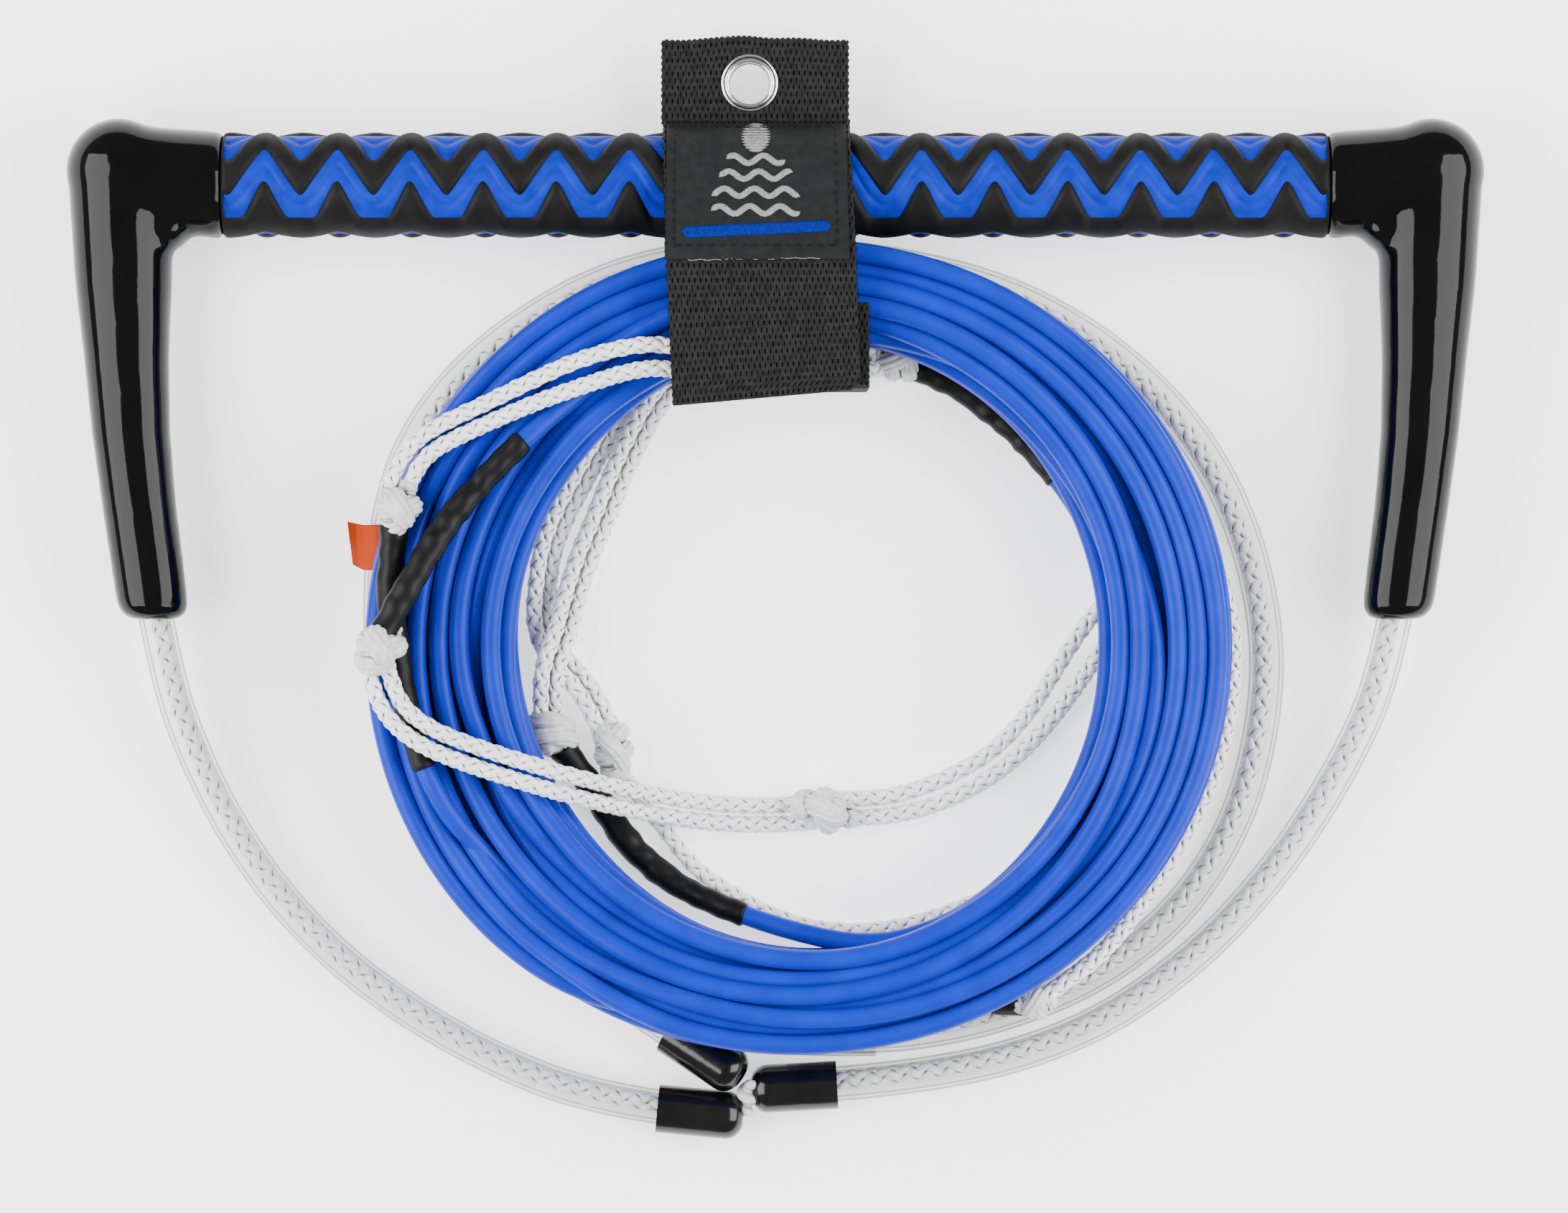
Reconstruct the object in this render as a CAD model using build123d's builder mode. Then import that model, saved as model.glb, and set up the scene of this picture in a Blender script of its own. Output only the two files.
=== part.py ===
"""Tow rope handle: a gripped bar with two legs, a tubed bridle, a coiled rope and a keeper strap.

Millimetres, +Z up. The handle lies flat: the bar runs along X, the rope lies towards -Y and
the part stands on Z = 0. The origin is under the middle of the handle with its strap.
"""
import os
from math import cos, radians, sin, sqrt, tan

from build123d import *

# ---- handle ---------------------------------------------------------------------------------
BAR_Y = 38.3                 # grip axis
BAR_Z = 16.0                 # the webbing under the grip lifts it off the floor
BAR_OUTER_R = 9.5
BAR_WALL = 1.25
BAR_HALF_LENGTH = 160.0
GRIP_HALF_LENGTH = 148.0
GRIP_CORE_R = 12.4
GRIP_R = 14.25
GROOVE_PITCH = 19.5          # one zigzag, along the grip
GROOVE_CENTRES = (0, 64, 180, 244)   # degrees round the grip, from +Z towards +Y
GROOVE_PEAK_TOP, GROOVE_PEAK_TIP = 9.7, 0.6
GROOVE_DIP_TIP, GROOVE_DIP_BOTTOM = -3.9, -9.8
GROOVE_FLAT = 4.2            # half of the flat at the foot of each dip
GROOVE_TIP_FLAT = 0.8
GROOVE_MARGIN = 1.6          # plain collar at each end of the grip

LEG_FOOT_Y = -78.2
CORNER_X, CORNER_Y, CORNER_R = 176.2, 42.2, 14.2
# each leg section: Y, distance from the middle, width across, depth in Z
LEG_SECTIONS = ((36.0, 175.6, 28.0, 27.6), (12.0, 174.9, 26.2, 25.6), (-8.0, 174.1, 23.1, 23.0),
                (-28.0, 172.9, 21.3, 21.2), (-47.0, 170.8, 20.2, 20.2), (-66.0, 168.2, 19.7, 19.4),
                (LEG_FOOT_Y, 166.5, 18.9, 18.8))
# each arm section: distance from the middle, Y, diameter
ARM_SECTIONS = ((176.2, 41.4, 28.2), (162.0, 39.6, 28.0), (GRIP_HALF_LENGTH + 0.2, BAR_Y, 28.6))
PASSAGE_R = 4.85             # the tube's socket in the leg
ROPE_PASSAGE_R = 3.2

# ---- tubes and ropes ------------------------------------------------------------------------
TUBE_OUTER, TUBE_INNER = 9.5, 7.4
BRIDLE_ROPE = 5.4
WHITE_ROPE = 4.8
BLUE_ROPE = 5.5
SLEEVE_OUTER, SLEEVE_INNER = 7.5, 5.6
CAP_R, CAP_LENGTH, CAP_DEPTH, CAP_ROUND = 6.5, 23.3, 19.0, 4.8
ROUTE_SHARE = 0.45           # of the shorter run, that each arc takes

# ---- coil -----------------------------------------------------------------------------------
COIL_BOTTOM = 11.5
COIL_OUTER_CENTRE, COIL_OUTER_RX, COIL_OUTER_RY = (5.2, -85.4), 119.0, 109.1
COIL_INNER_CENTRE, COIL_INNER_RX, COIL_INNER_RY = (10.2, -85.0), 76.4, 81.6
COIL_CROWN = ((-125, 25.5), (-95, 26.5), (-60, 30.0), (-25, 34.2), (5, 35.5), (40, 34.5),
              (80, 30.5), (130, 28.0))    # X, top of the coil
COIL_EDGE_R = 4.5

# ---- keeper strap ---------------------------------------------------------------------------
WEBBING = 1.6
STRAP_R = GRIP_R + 0.1 + WEBBING / 2       # middle of the webbing round the grip
STRAP_FRONT_X = (-30.5, 19.5)
STRAP_BACK_X = (-25.0, 25.0)
FLAP_HINGE_Y, FLAP_HINGE_Z = 16.8, 44.3
FLAP_GAP = 1.5
FRONT_END_Y = 19.2
CLOSING_Y, OVER_Z, OVER_END_Y = -17.6, 40.8, 6.0
STRAP_BEND_R = 5.0
PATCH = 0.8                  # hook and loop, and the label
LEAVE_ANGLE = 57.0           # where the front webbing leaves the grip, from +Y
TAB_HINGE_Y, TAB_START_Y, TAB_END_Y, TAB_THICK = 56.2, 57.8, 78.2, 3.2
GROMMET_X, GROMMET_Y = -6.9, 65.6
GROMMET_HOLE_R, GROMMET_NECK_R, GROMMET_FLANGE_R, GROMMET_FLANGE = 5.25, 5.85, 7.6, 0.7

os.makedirs("parts", exist_ok=True)


def save(builder, name):
    builder.part.label = name
    export_step(builder.part, f"parts/{name}.step")


# ---- cords: straight runs joined by tangent arcs --------------------------------------------
def corner_radii(points):
    radii = []
    for before, corner, after in zip(points, points[1:], points[2:]):
        run_in = Vector(*corner) - Vector(*before)
        run_out = Vector(*after) - Vector(*corner)
        half_turn = radians(run_in.get_angle(run_out)) / 2
        radii.append(ROUTE_SHARE * min(run_in.length, run_out.length) / tan(half_turn))
    return radii


def make_cord(name, points, diameter, bore=0.0, radii=None):
    radii = radii or corner_radii(points)
    start = Vector(*points[0])
    with BuildPart() as cord:
        with BuildLine() as line:
            FilletPolyline(*points, radius=radii)
        with BuildSketch(Plane(start, z_dir=Vector(*points[1]) - start)):
            Circle(diameter / 2)
            if bore:
                Circle(bore / 2, mode=Mode.SUBTRACT)
        sweep(path=line.wire())
    section = 3.14159 / 4 * (diameter ** 2 - bore ** 2)
    length = line.wire().length
    print(f"{name}: {length:.0f} mm long, radii {min(radii):.1f} to {max(radii):.0f},"
          f" volume ratio {cord.part.volume / (section * length):.3f}")
    save(cord, name)


def both_strands(middle):
    """Out along one side of a doubled rope and back along the other.

    Each point of the middle line is x, y, z, half the spacing sideways, half the spacing in Z.
    """
    out, back = [], []
    for index, (x, y, z, side, rise) in enumerate(middle):
        x0, y0 = middle[max(index - 1, 0)][:2]
        x1, y1 = middle[min(index + 1, len(middle) - 1)][:2]
        length = sqrt((x1 - x0) ** 2 + (y1 - y0) ** 2)
        left_x, left_y = -(y1 - y0) / length, (x1 - x0) / length
        out.append((x + side * left_x, y + side * left_y, z + rise))
        back.append((x - side * left_x, y - side * left_y, z - rise))
    return out + back[::-1]


def make_sleeved_end(letter, route, sleeve_points, sleeve_end):
    """The coloured rope from its knot to the coil, and the shrunk sleeve over its first part."""
    radii = corner_radii(route)
    make_cord(f"lead_{letter}", route, BLUE_ROPE, radii=radii)
    make_cord(f"sleeve_{letter}", route[:sleeve_points] + [sleeve_end], SLEEVE_OUTER, SLEEVE_INNER,
              radii[:sleeve_points - 1])


def make_knot(name, centre, along, length, width):
    axis = Vector(*along).normalized()
    middle = Vector(*centre)
    with BuildPart() as knot:
        with BuildSketch(Plane(middle, x_dir=axis, z_dir=axis.cross(Vector(0, 0, 1)))):
            Ellipse(length / 2, width / 2)
            Rectangle(length, width, align=(Align.CENTER, Align.MAX), mode=Mode.SUBTRACT)
        revolve(axis=Axis(middle, axis))
    save(knot, name)


# ---- handle bar and grip --------------------------------------------------------------------
def bar_plane(x):
    return Plane((x, BAR_Y, BAR_Z), z_dir=(1, 0, 0))


with BuildPart() as bar_tube:
    with BuildSketch(bar_plane(-BAR_HALF_LENGTH)):
        Circle(BAR_OUTER_R)
        Circle(BAR_OUTER_R - BAR_WALL, mode=Mode.SUBTRACT)
    extrude(amount=2 * BAR_HALF_LENGTH)
save(bar_tube, "bar_tube")

with BuildPart() as grip_core:
    with BuildSketch(bar_plane(-GRIP_HALF_LENGTH)):
        Circle(GRIP_CORE_R)
        Circle(BAR_OUTER_R, mode=Mode.SUBTRACT)
    extrude(amount=2 * GRIP_HALF_LENGTH)
save(grip_core, "grip_core")


def zigzag_outline():
    """One groove laid flat: along the grip, and across it."""
    end = GRIP_HALF_LENGTH - GROOVE_MARGIN
    count = int(end / GROOVE_PITCH)
    peaks = [index * GROOVE_PITCH for index in range(-count, count + 1)]
    upper, lower = [], []
    for peak in peaks:
        upper += [(peak - GROOVE_TIP_FLAT, GROOVE_PEAK_TOP), (peak + GROOVE_TIP_FLAT, GROOVE_PEAK_TOP)]
        lower += [(peak, GROOVE_PEAK_TIP)]
        if peak < peaks[-1]:
            dip = peak + GROOVE_PITCH / 2
            upper += [(dip, GROOVE_DIP_TIP)]
            lower += [(dip - GROOVE_FLAT, GROOVE_DIP_BOTTOM), (dip + GROOVE_FLAT, GROOVE_DIP_BOTTOM)]
    return upper + lower[::-1]


with BuildPart() as grip_cover:
    with BuildSketch(bar_plane(-GRIP_HALF_LENGTH)):
        Circle(GRIP_R)
        Circle(GRIP_CORE_R, mode=Mode.SUBTRACT)
    extrude(amount=2 * GRIP_HALF_LENGTH)
    for turn in GROOVE_CENTRES:
        outward = (0, sin(radians(turn)), cos(radians(turn)))
        with BuildSketch(Plane((0, BAR_Y, BAR_Z), x_dir=(1, 0, 0), z_dir=outward)):
            with BuildLine():
                Polyline(*zigzag_outline(), close=True)
            make_face()
        extrude(amount=2 * GRIP_R, mode=Mode.SUBTRACT)
save(grip_cover, "grip_cover")

# the rope runs up one leg, through the bar and down the other leg
LEG_TOP = (175.4, BAR_Y, BAR_Z)
LEG_SOCKET = (168.4, -64.0, BAR_Z)
LEG_MIDDLE = (172.4, -12.0, BAR_Z)
BAR_MOUTH = (140.0, BAR_Y, BAR_Z)
right_half = [(30.0, BAR_Y, BAR_Z - 2.6), (88.0, BAR_Y - 1.0, BAR_Z - 1.8), BAR_MOUTH, LEG_TOP, LEG_MIDDLE,
              LEG_SOCKET]
handle_route = [(-x, y, z) for x, y, z in right_half[::-1]] + right_half


with BuildPart() as end_fitting_right:
    for y, x, width, depth in LEG_SECTIONS:
        with BuildSketch(Plane((x, y, BAR_Z), x_dir=(1, 0, 0), z_dir=(0, -1, 0))):
            Ellipse(width / 2, depth / 2)
    loft()
    foot = end_fitting_right.faces().sort_by(Axis.Y)[0]
    fillet(foot.edges(), radius=4.0)
    for x, y, diameter in ARM_SECTIONS:
        with BuildSketch(Plane((x, y, BAR_Z), z_dir=(-1, 0, 0))):
            Circle(diameter / 2)
    loft()
    with Locations((CORNER_X, CORNER_Y, BAR_Z)):
        Sphere(CORNER_R)
    # socket for the bar, then the passage for the rope and the socket for its tube
    with BuildSketch(bar_plane(GRIP_HALF_LENGTH - 1)):
        Circle(BAR_OUTER_R)
    extrude(amount=BAR_HALF_LENGTH - GRIP_HALF_LENGTH + 1.4, mode=Mode.SUBTRACT)
    passage = [BAR_MOUTH, LEG_TOP, LEG_MIDDLE, LEG_SOCKET]
    with BuildLine() as passage_line:
        FilletPolyline(*passage, radius=corner_radii(passage))
    with BuildSketch(bar_plane(BAR_MOUTH[0])):
        Circle(ROPE_PASSAGE_R)
    sweep(path=passage_line.wire(), mode=Mode.SUBTRACT)
    tube_start, tube_next = Vector(*LEG_SOCKET), Vector(164.4, -92.0, BAR_Z - 2.0)
    with BuildSketch(Plane(tube_start, z_dir=tube_next - tube_start)):
        Circle(PASSAGE_R)
    extrude(amount=30, mode=Mode.SUBTRACT)
save(end_fitting_right, "end_fitting_right")

with BuildPart() as end_fitting_left:
    mirror(end_fitting_right.part, about=Plane.YZ)
save(end_fitting_left, "end_fitting_left")
make_cord("handle_rope", handle_route, BRIDLE_ROPE)

# ---- bridle and trunk -----------------------------------------------------------------------
bridle_left = [(-168.4, -64.0, 16.0), (-164.4, -92.0, 14.0), (-154.0, -121.0, 9.5), (-138.0, -148.5, 6.3),
               (-115.5, -172.5, 4.9), (-84.5, -193.0, 4.9), (-48.0, -208.4, 6.3), (-14.0, -211.6, 6.5)]
bridle_right = [(168.4, -64.0, 16.0), (164.4, -92.0, 14.0), (152.0, -119.5, 9.5), (135.0, -146.0, 6.3),
                (112.5, -170.5, 4.9), (82.0, -191.0, 4.9), (40.0, -202.2, 6.3), (-1.0, -204.5, 6.5)]
trunk = [(-13.4, -198.5, 10.0), (-38.3, -182.4, 4.9), (-51.0, -173.2, 4.8), (-75.2, -153.0, 4.8),
         (-94.5, -129.0, 4.8), (-104.3, -103.5, 5.0), (-107.0, -77.5, 5.2), (-105.3, -53.0, 5.2),
         (-98.5, -30.0, 5.0), (-82.0, -8.5, 4.8), (-55.0, 10.0, 5.0), (-29.0, 18.6, 6.8), (1.0, 20.6, 6.8),
         (29.0, 18.4, 6.8), (60.0, 11.5, 5.0), (85.0, -1.5, 4.8), (105.0, -18.5, 4.8), (119.0, -37.5, 4.8),
         (128.5, -60.0, 4.8), (133.0, -85.0, 4.8), (131.5, -107.0, 4.8), (126.0, -129.0, 4.8),
         (115.5, -148.5, 4.8), (102.0, -163.5, 4.8), (83.5, -176.2, 4.8), (62.0, -184.6, 4.8),
         (43.0, -189.0, 5.2), (24.0, -190.8, 5.5), (6.0, -190.2, 5.5)]

for name, route in (("bridle_left", bridle_left), ("bridle_right", bridle_right), ("trunk", trunk)):
    kind, _, side = name.partition("_")
    ending = f"_{side}" if side else ""
    make_cord(f"{kind}_tube{ending}", route, TUBE_OUTER, TUBE_INNER)
    make_cord(f"{kind}_rope{ending}", route, BRIDLE_ROPE)


def make_cap(name, mouth, direction):
    """A vinyl cap over a tube's end, with a hole in its round end for the rope."""
    with BuildPart() as cap:
        with BuildSketch(Plane(mouth, z_dir=direction)):
            Circle(CAP_R)
        extrude(amount=CAP_LENGTH)
        along = Axis(mouth, direction)
        fillet(cap.faces().sort_by(along)[-1].edges(), radius=CAP_ROUND)
        with BuildSketch(Plane(mouth, z_dir=direction)):
            Circle(TUBE_OUTER / 2)
        extrude(amount=CAP_DEPTH, mode=Mode.SUBTRACT)
        with BuildSketch(Plane(mouth, z_dir=direction)):
            Circle(BRIDLE_ROPE / 2)
        extrude(amount=CAP_LENGTH, mode=Mode.SUBTRACT)
    save(cap, name)


CAP_MOUTHS = {"bridle_cap_left": ((-31.8, -209.9, 6.5), (0.996, -0.094, 0.0)),
              "bridle_cap_right": ((16.6, -203.5, 6.5), (-0.9985, -0.056, 0.0)),
              "trunk_cap": ((-28.3, -188.9, 6.95), (0.825, -0.536, 0.169))}
for cap_name, (cap_mouth, cap_direction) in CAP_MOUTHS.items():
    make_cap(cap_name, cap_mouth, cap_direction)

make_knot("y_splice", (-7.4, -206.4, 8.4), (0.1, 1.0, 0.35), 12.0, 6.2)
trunk_end = [(27.0, -190.4, 5.5), (14.0, -190.5, 5.5), (3.0, -190.1, 5.5)]
make_cord("trunk_end_sleeve", trunk_end, 10.9, TUBE_OUTER)

TAG_CENTRE, TAG_AXIS = (-106.1, -58.8, 5.2), (0.055, 1.0, 0.0)
TAG_LENGTH, TAG_WALL, TAG_REACH = 12.2, 0.35, 8.6
with BuildPart() as float_tag:
    tag_plane = Plane(TAG_CENTRE, x_dir=(-1.0, 0.055, 0.0), z_dir=TAG_AXIS)
    with BuildSketch(tag_plane.offset(-TAG_LENGTH / 2)):
        Circle(TUBE_OUTER / 2 + TAG_WALL)
        with Locations((TAG_REACH / 2, 0)):
            Rectangle(TAG_REACH, 2 * TAG_WALL)
        Circle(TUBE_OUTER / 2, mode=Mode.SUBTRACT)
    extrude(amount=TAG_LENGTH)
save(float_tag, "float_tag")

# ---- pigtail: out of the trunk, once round under the coil, then to its loop ------------------
pigtail = [(6.0, -190.2, 5.5), (-12.0, -185.5, 3.0), (-33.0, -171.5, 2.5), (-60.0, -146.0, 2.5),
           (-74.0, -113.0, 2.5), (-77.5, -77.0, 2.5), (-72.5, -42.0, 2.5), (-57.5, -14.0, 2.5),
           (-36.0, 4.0, 4.0), (-10.0, 11.0, 4.4), (20.0, 10.5, 4.4), (50.0, 1.5, 3.2), (76.0, -15.5, 2.5),
           (90.0, -38.0, 2.5), (94.0, -64.0, 2.5), (94.0, -90.0, 2.5), (89.0, -115.0, 2.5),
           (79.0, -135.0, 2.5), (64.0, -149.5, 2.5), (46.0, -158.0, 2.5), (26.0, -162.8, 2.5), (6.0, -161.3, 2.5),
           (-11.0, -153.0, 2.5), (-22.8, -144.6, 2.5), (-29.8, -134.7, 2.5), (-36.6, -127.0, 3.0),
           (-42.5, -117.0, 4.6)]
make_cord("pigtail_rope", pigtail, WHITE_ROPE)
make_knot("pigtail_knot", (-43.6, -113.2, 5.6), (-0.25, 1.0, 0.0), 18.4, 10.8)

# ---- the coil, one solid ---------------------------------------------------------------------
COIL_REACH = 130.0
with BuildPart() as mainline_coil:
    with BuildSketch(Plane.XY.offset(COIL_BOTTOM)):
        with Locations(COIL_OUTER_CENTRE):
            Ellipse(COIL_OUTER_RX, COIL_OUTER_RY)
        with Locations(COIL_INNER_CENTRE):
            Ellipse(COIL_INNER_RX, COIL_INNER_RY, mode=Mode.SUBTRACT)
    extrude(amount=2 * COIL_BOTTOM + COIL_CROWN[4][1])
    with BuildSketch(Plane.XZ.offset(COIL_REACH * 2)):
        with BuildLine():
            crown = Spline(*COIL_CROWN)
            Polyline(crown @ 1, (COIL_REACH, 0), (-COIL_REACH, 0), crown @ 0)
        make_face()
    extrude(amount=-4 * COIL_REACH, mode=Mode.INTERSECT)
    fillet(mainline_coil.edges().filter_by(lambda edge: edge.length > COIL_REACH), radius=COIL_EDGE_R)
    cap_mouth, cap_direction = CAP_MOUTHS["trunk_cap"]
    with BuildSketch(Plane(cap_mouth, z_dir=cap_direction).offset(-8)):
        Circle(CAP_R + 0.4)
    extrude(amount=CAP_LENGTH + 10, mode=Mode.SUBTRACT)
save(mainline_coil, "mainline_coil")

# ---- the five ends of the coil's sections that show, and the boat end under the coil ---------
make_sleeved_end("a", [(-101.5, -53.0, 32.6), (-103.0, -67.0, 30.6), (-101.8, -83.0, 30.1),
                       (-98.8, -101.0, 30.4), (-91.0, -126.0, 30.6), (-76.0, -143.0, 24.0)],
                 4, (-93.5, -118.0, 30.54))
make_sleeved_end("b", [(-104.8, -82.5, 38.8), (-97.8, -70.0, 38.8), (-90.0, -56.0, 35.2),
                       (-80.0, -43.0, 32.8), (-62.0, -25.5, 31.4), (-50.0, -16.0, 24.5)],
                 4, (-67.4, -30.75, 31.82))
make_sleeved_end("c", [(-57.4, -113.0, 5.8), (-50.7, -121.1, 4.0), (-45.5, -131.0, 4.2), (-36.4, -142.2, 5.0),
                       (-25.0, -151.2, 6.4), (0.0, -161.0, 12.3), (26.0, -166.3, 17.0)],
                 5, (-8.5, -157.67, 10.29))
make_sleeved_end("d", [(34.5, -9.0, 5.4), (44.0, -12.3, 4.6), (55.0, -19.0, 4.6), (66.0, -28.5, 5.0),
                       (80.0, -45.0, 7.2), (89.0, -63.0, 14.5)],
                 4, (76.0, -40.3, 6.57))
make_sleeved_end("e", [(68.0, -181.0, 14.4), (56.0, -180.3, 14.6), (42.0, -178.0, 16.0),
                       (22.0, -176.5, 18.0)],
                 2, (46.2, -178.7, 15.58))
make_sleeved_end("f", [(-90.0, -66.0, 5.0), (-91.0, -80.0, 4.6), (-89.5, -95.0, 4.6), (-84.5, -110.0, 5.2),
                       (-76.0, -124.0, 8.2), (-64.0, -137.5, 14.5)],
                 4, (-79.4, -118.4, 7.0))

loop_a = [(-100.9, -44.0, 31.2, 2.5, 0.0), (-98.2, -37.0, 30.2, 2.5, 0.0), (-93.0, -31.2, 30.4, 2.5, 0.0),
          (-86.0, -27.4, 31.0, 2.5, 0.0), (-76.0, -22.8, 31.9, 2.5, 0.0), (-64.0, -17.4, 34.2, 2.9, 0.0),
          (-51.5, -12.4, 35.8, 3.5, 0.0), (-38.6, -8.6, 36.6, 3.3, 0.0), (-28.9, -8.0, 37.2, 3.2, 0.0),
          (-18.0, -11.6, 36.0, 2.2, 1.4), (-8.0, -12.4, 29.0, 1.6, 2.0), (3.2, -10.5, 21.6, 3.4, 3.4)]
loop_b = [(-105.6, -91.0, 38.4, 2.6, 0.0), (-103.8, -98.0, 38.2, 2.6, 0.0), (-99.5, -104.6, 38.0, 2.6, 0.0),
          (-92.4, -109.7, 37.4, 2.6, 0.0), (-82.5, -113.8, 34.0, 2.6, 0.0), (-71.0, -117.6, 32.6, 2.6, 0.0),
          (-59.0, -121.2, 33.2, 2.6, 0.0), (-47.0, -124.6, 24.6, 2.6, 0.0), (-34.5, -127.6, 13.6, 2.6, 0.0),
          (-17.5, -130.6, 4.8, 2.6, 0.0), (0.0, -131.2, 2.6, 2.6, 0.0), (17.0, -129.4, 2.6, 2.6, 0.0),
          (31.0, -128.8, 2.6, 2.6, 0.0), (41.5, -126.0, 2.6, 2.8, 0.0), (51.0, -121.8, 2.6, 2.9, 0.0),
          (61.0, -115.6, 2.6, 2.8, 0.0), (70.5, -105.8, 2.8, 3.0, 0.0), (78.5, -94.0, 4.8, 3.6, 0.0),
          (86.0, -82.0, 8.6, 3.8, 0.0), (95.0, -71.0, 8.2, 3.0, 1.0), (107.5, -58.6, 5.8, 3.4, 3.2)]
loop_c = [(-61.2, -104.0, 6.2, 1.9, 1.6), (-61.4, -96.5, 10.6, 1.9, 1.6), (-60.2, -89.5, 12.6, 1.9, 1.6),
          (-57.4, -82.5, 12.0, 1.9, 1.6), (-55.0, -72.0, 6.2, 1.9, 1.6), (-51.4, -60.8, 4.3, 1.9, 1.6),
          (-47.0, -50.6, 4.3, 1.9, 1.6), (-43.2, -40.6, 4.3, 1.9, 1.6), (-38.4, -30.2, 4.3, 1.9, 1.6),
          (-32.5, -19.0, 4.5, 1.9, 1.6), (-25.0, -11.6, 5.9, 1.9, 1.6), (-13.5, -10.8, 7.6, 2.4, 2.0),
          (1.0, -11.0, 9.4, 3.4, 3.4)]
loop_d = [(29.0, -8.0, 7.2, 2.4, 0.6), (18.5, -9.2, 14.6, 2.6, 0.6), (8.4, -10.3, 18.6, 3.0, 2.0),
          (-3.2, -10.5, 25.4, 3.4, 3.4)]
loop_e = [(71.4, -179.8, 14.8, 0.0, 2.45), (78.4, -174.9, 14.8, 0.0, 2.45), (86.4, -169.0, 13.8, 0.0, 2.45),
          (93.6, -161.4, 10.6, 0.0, 2.45), (101.0, -151.2, 6.2, 0.0, 2.45), (108.0, -140.5, 5.1, 0.0, 2.45),
          (114.4, -129.2, 5.1, 0.0, 2.45), (119.2, -117.2, 5.1, 0.0, 2.45), (122.4, -104.0, 5.1, 0.0, 2.45),
          (123.8, -90.0, 5.1, 0.0, 2.45), (123.0, -76.5, 5.1, 0.0, 2.45), (118.5, -64.0, 5.2, 0.6, 2.6),
          (112.0, -55.5, 5.6, 2.4, 3.0), (102.5, -62.5, 5.8, 3.4, 3.2)]
loop_f = [(-89.4, -58.0, 4.4, 2.5, 0.0), (-88.0, -46.0, 2.6, 3.0, 0.0), (-84.5, -34.5, 2.6, 3.8, 0.0),
          (-78.5, -24.0, 2.6, 4.2, 0.0)]
pigtail_loop = [(-45.8, -107.6, 5.0, 1.8, 1.75), (-49.6, -99.4, 4.3, 1.8, 1.75),
                (-55.0, -92.6, 4.3, 1.8, 1.75), (-60.8, -86.8, 4.3, 1.8, 1.75),
                (-63.6, -79.0, 4.3, 1.8, 1.75), (-62.9, -69.6, 4.3, 1.8, 1.75),
                (-61.8, -60.4, 4.3, 1.8, 1.75), (-58.6, -51.2, 4.3, 1.8, 1.75),
                (-53.2, -41.0, 4.3, 1.8, 1.75), (-46.8, -29.6, 4.3, 1.8, 1.75),
                (-39.0, -15.8, 4.5, 1.8, 1.75), (-28.0, -4.6, 5.7, 1.8, 1.75),
                (-13.0, 1.6, 6.1, 1.8, 1.75), (3.0, 1.8, 6.1, 1.8, 1.75),
                (15.5, 0.4, 6.1, 1.8, 1.75), (17.0, -11.2, 6.6, 1.8, 1.75),
                (5.5, -11.6, 8.4, 2.4, 2.4), (-6.0, -11.0, 9.4, 3.4, 3.4)]
for loop_name, middle in (("loop_a", loop_a), ("loop_b", loop_b), ("loop_c", loop_c), ("loop_d", loop_d),
                          ("loop_e", loop_e), ("loop_f", loop_f), ("pigtail_loop", pigtail_loop)):
    make_cord(loop_name, both_strands(middle), WHITE_ROPE)

make_knot("knot_a", (-100.9, -47.8, 32.2), (0.05, 1.0, 0.0), 13.8, 11.6)
make_knot("knot_b", (-105.8, -86.4, 39.6), (0.2, 1.0, 0.0), 13.4, 12.0)
make_knot("knot_c", (-59.8, -109.0, 6.4), (-0.3, 1.0, 0.0), 14.6, 12.2)
make_knot("knot_d", (32.6, -8.4, 6.0), (1.0, -0.1, 0.0), 16.4, 10.4)
make_knot("knot_e", (69.4, -180.9, 14.7), (0.85, 0.5, 0.0), 11.4, 9.6)
make_knot("knot_f", (-89.8, -61.8, 5.6), (0.1, 1.0, 0.0), 13.6, 11.0)
make_knot("stopper_knot", (13.1, -129.6, 6.5), (1.0, 0.05, 0.0), 16.0, 12.8)

# ---- keeper strap ----------------------------------------------------------------------------
def strap_side(x):
    return Plane((x, 0, 0), x_dir=(0, 1, 0), z_dir=(1, 0, 0))


def round_grip(angle, radius):
    return (BAR_Y + radius * cos(radians(angle)), BAR_Z + radius * sin(radians(angle)))


def front_profile(lift, start_angle, end_y):
    """The front webbing's line in Y and Z, lifted outwards: round the grip, then up to the coil."""
    radius = STRAP_R + lift
    leave_y, leave_z = round_grip(LEAVE_ANGLE, STRAP_R)
    out_y, out_z = lift * cos(radians(LEAVE_ANGLE)), lift * sin(radians(LEAVE_ANGLE))
    slope = (FLAP_HINGE_Z - leave_z) / (FRONT_END_Y - leave_y)
    end = (end_y + out_y, leave_z + slope * (end_y - leave_y) + out_z)
    leave = (leave_y + out_y, leave_z + out_z)
    ThreePointArc(round_grip(start_angle, radius), round_grip((start_angle + LEAVE_ANGLE) / 2, radius), leave)
    Line(leave, end)


with BuildPart() as strap_back:
    with BuildSketch(strap_side(STRAP_BACK_X[0])):
        with BuildLine():
            ThreePointArc(round_grip(0, STRAP_R), round_grip(-45, STRAP_R), round_grip(-90, STRAP_R))
            FilletPolyline(round_grip(-90, STRAP_R), (CLOSING_Y, BAR_Z - STRAP_R), (CLOSING_Y, OVER_Z),
                           (OVER_END_Y, OVER_Z), radius=STRAP_BEND_R)
        trace(line_width=WEBBING)
    extrude(amount=STRAP_BACK_X[1] - STRAP_BACK_X[0])
save(strap_back, "strap_back")

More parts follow.
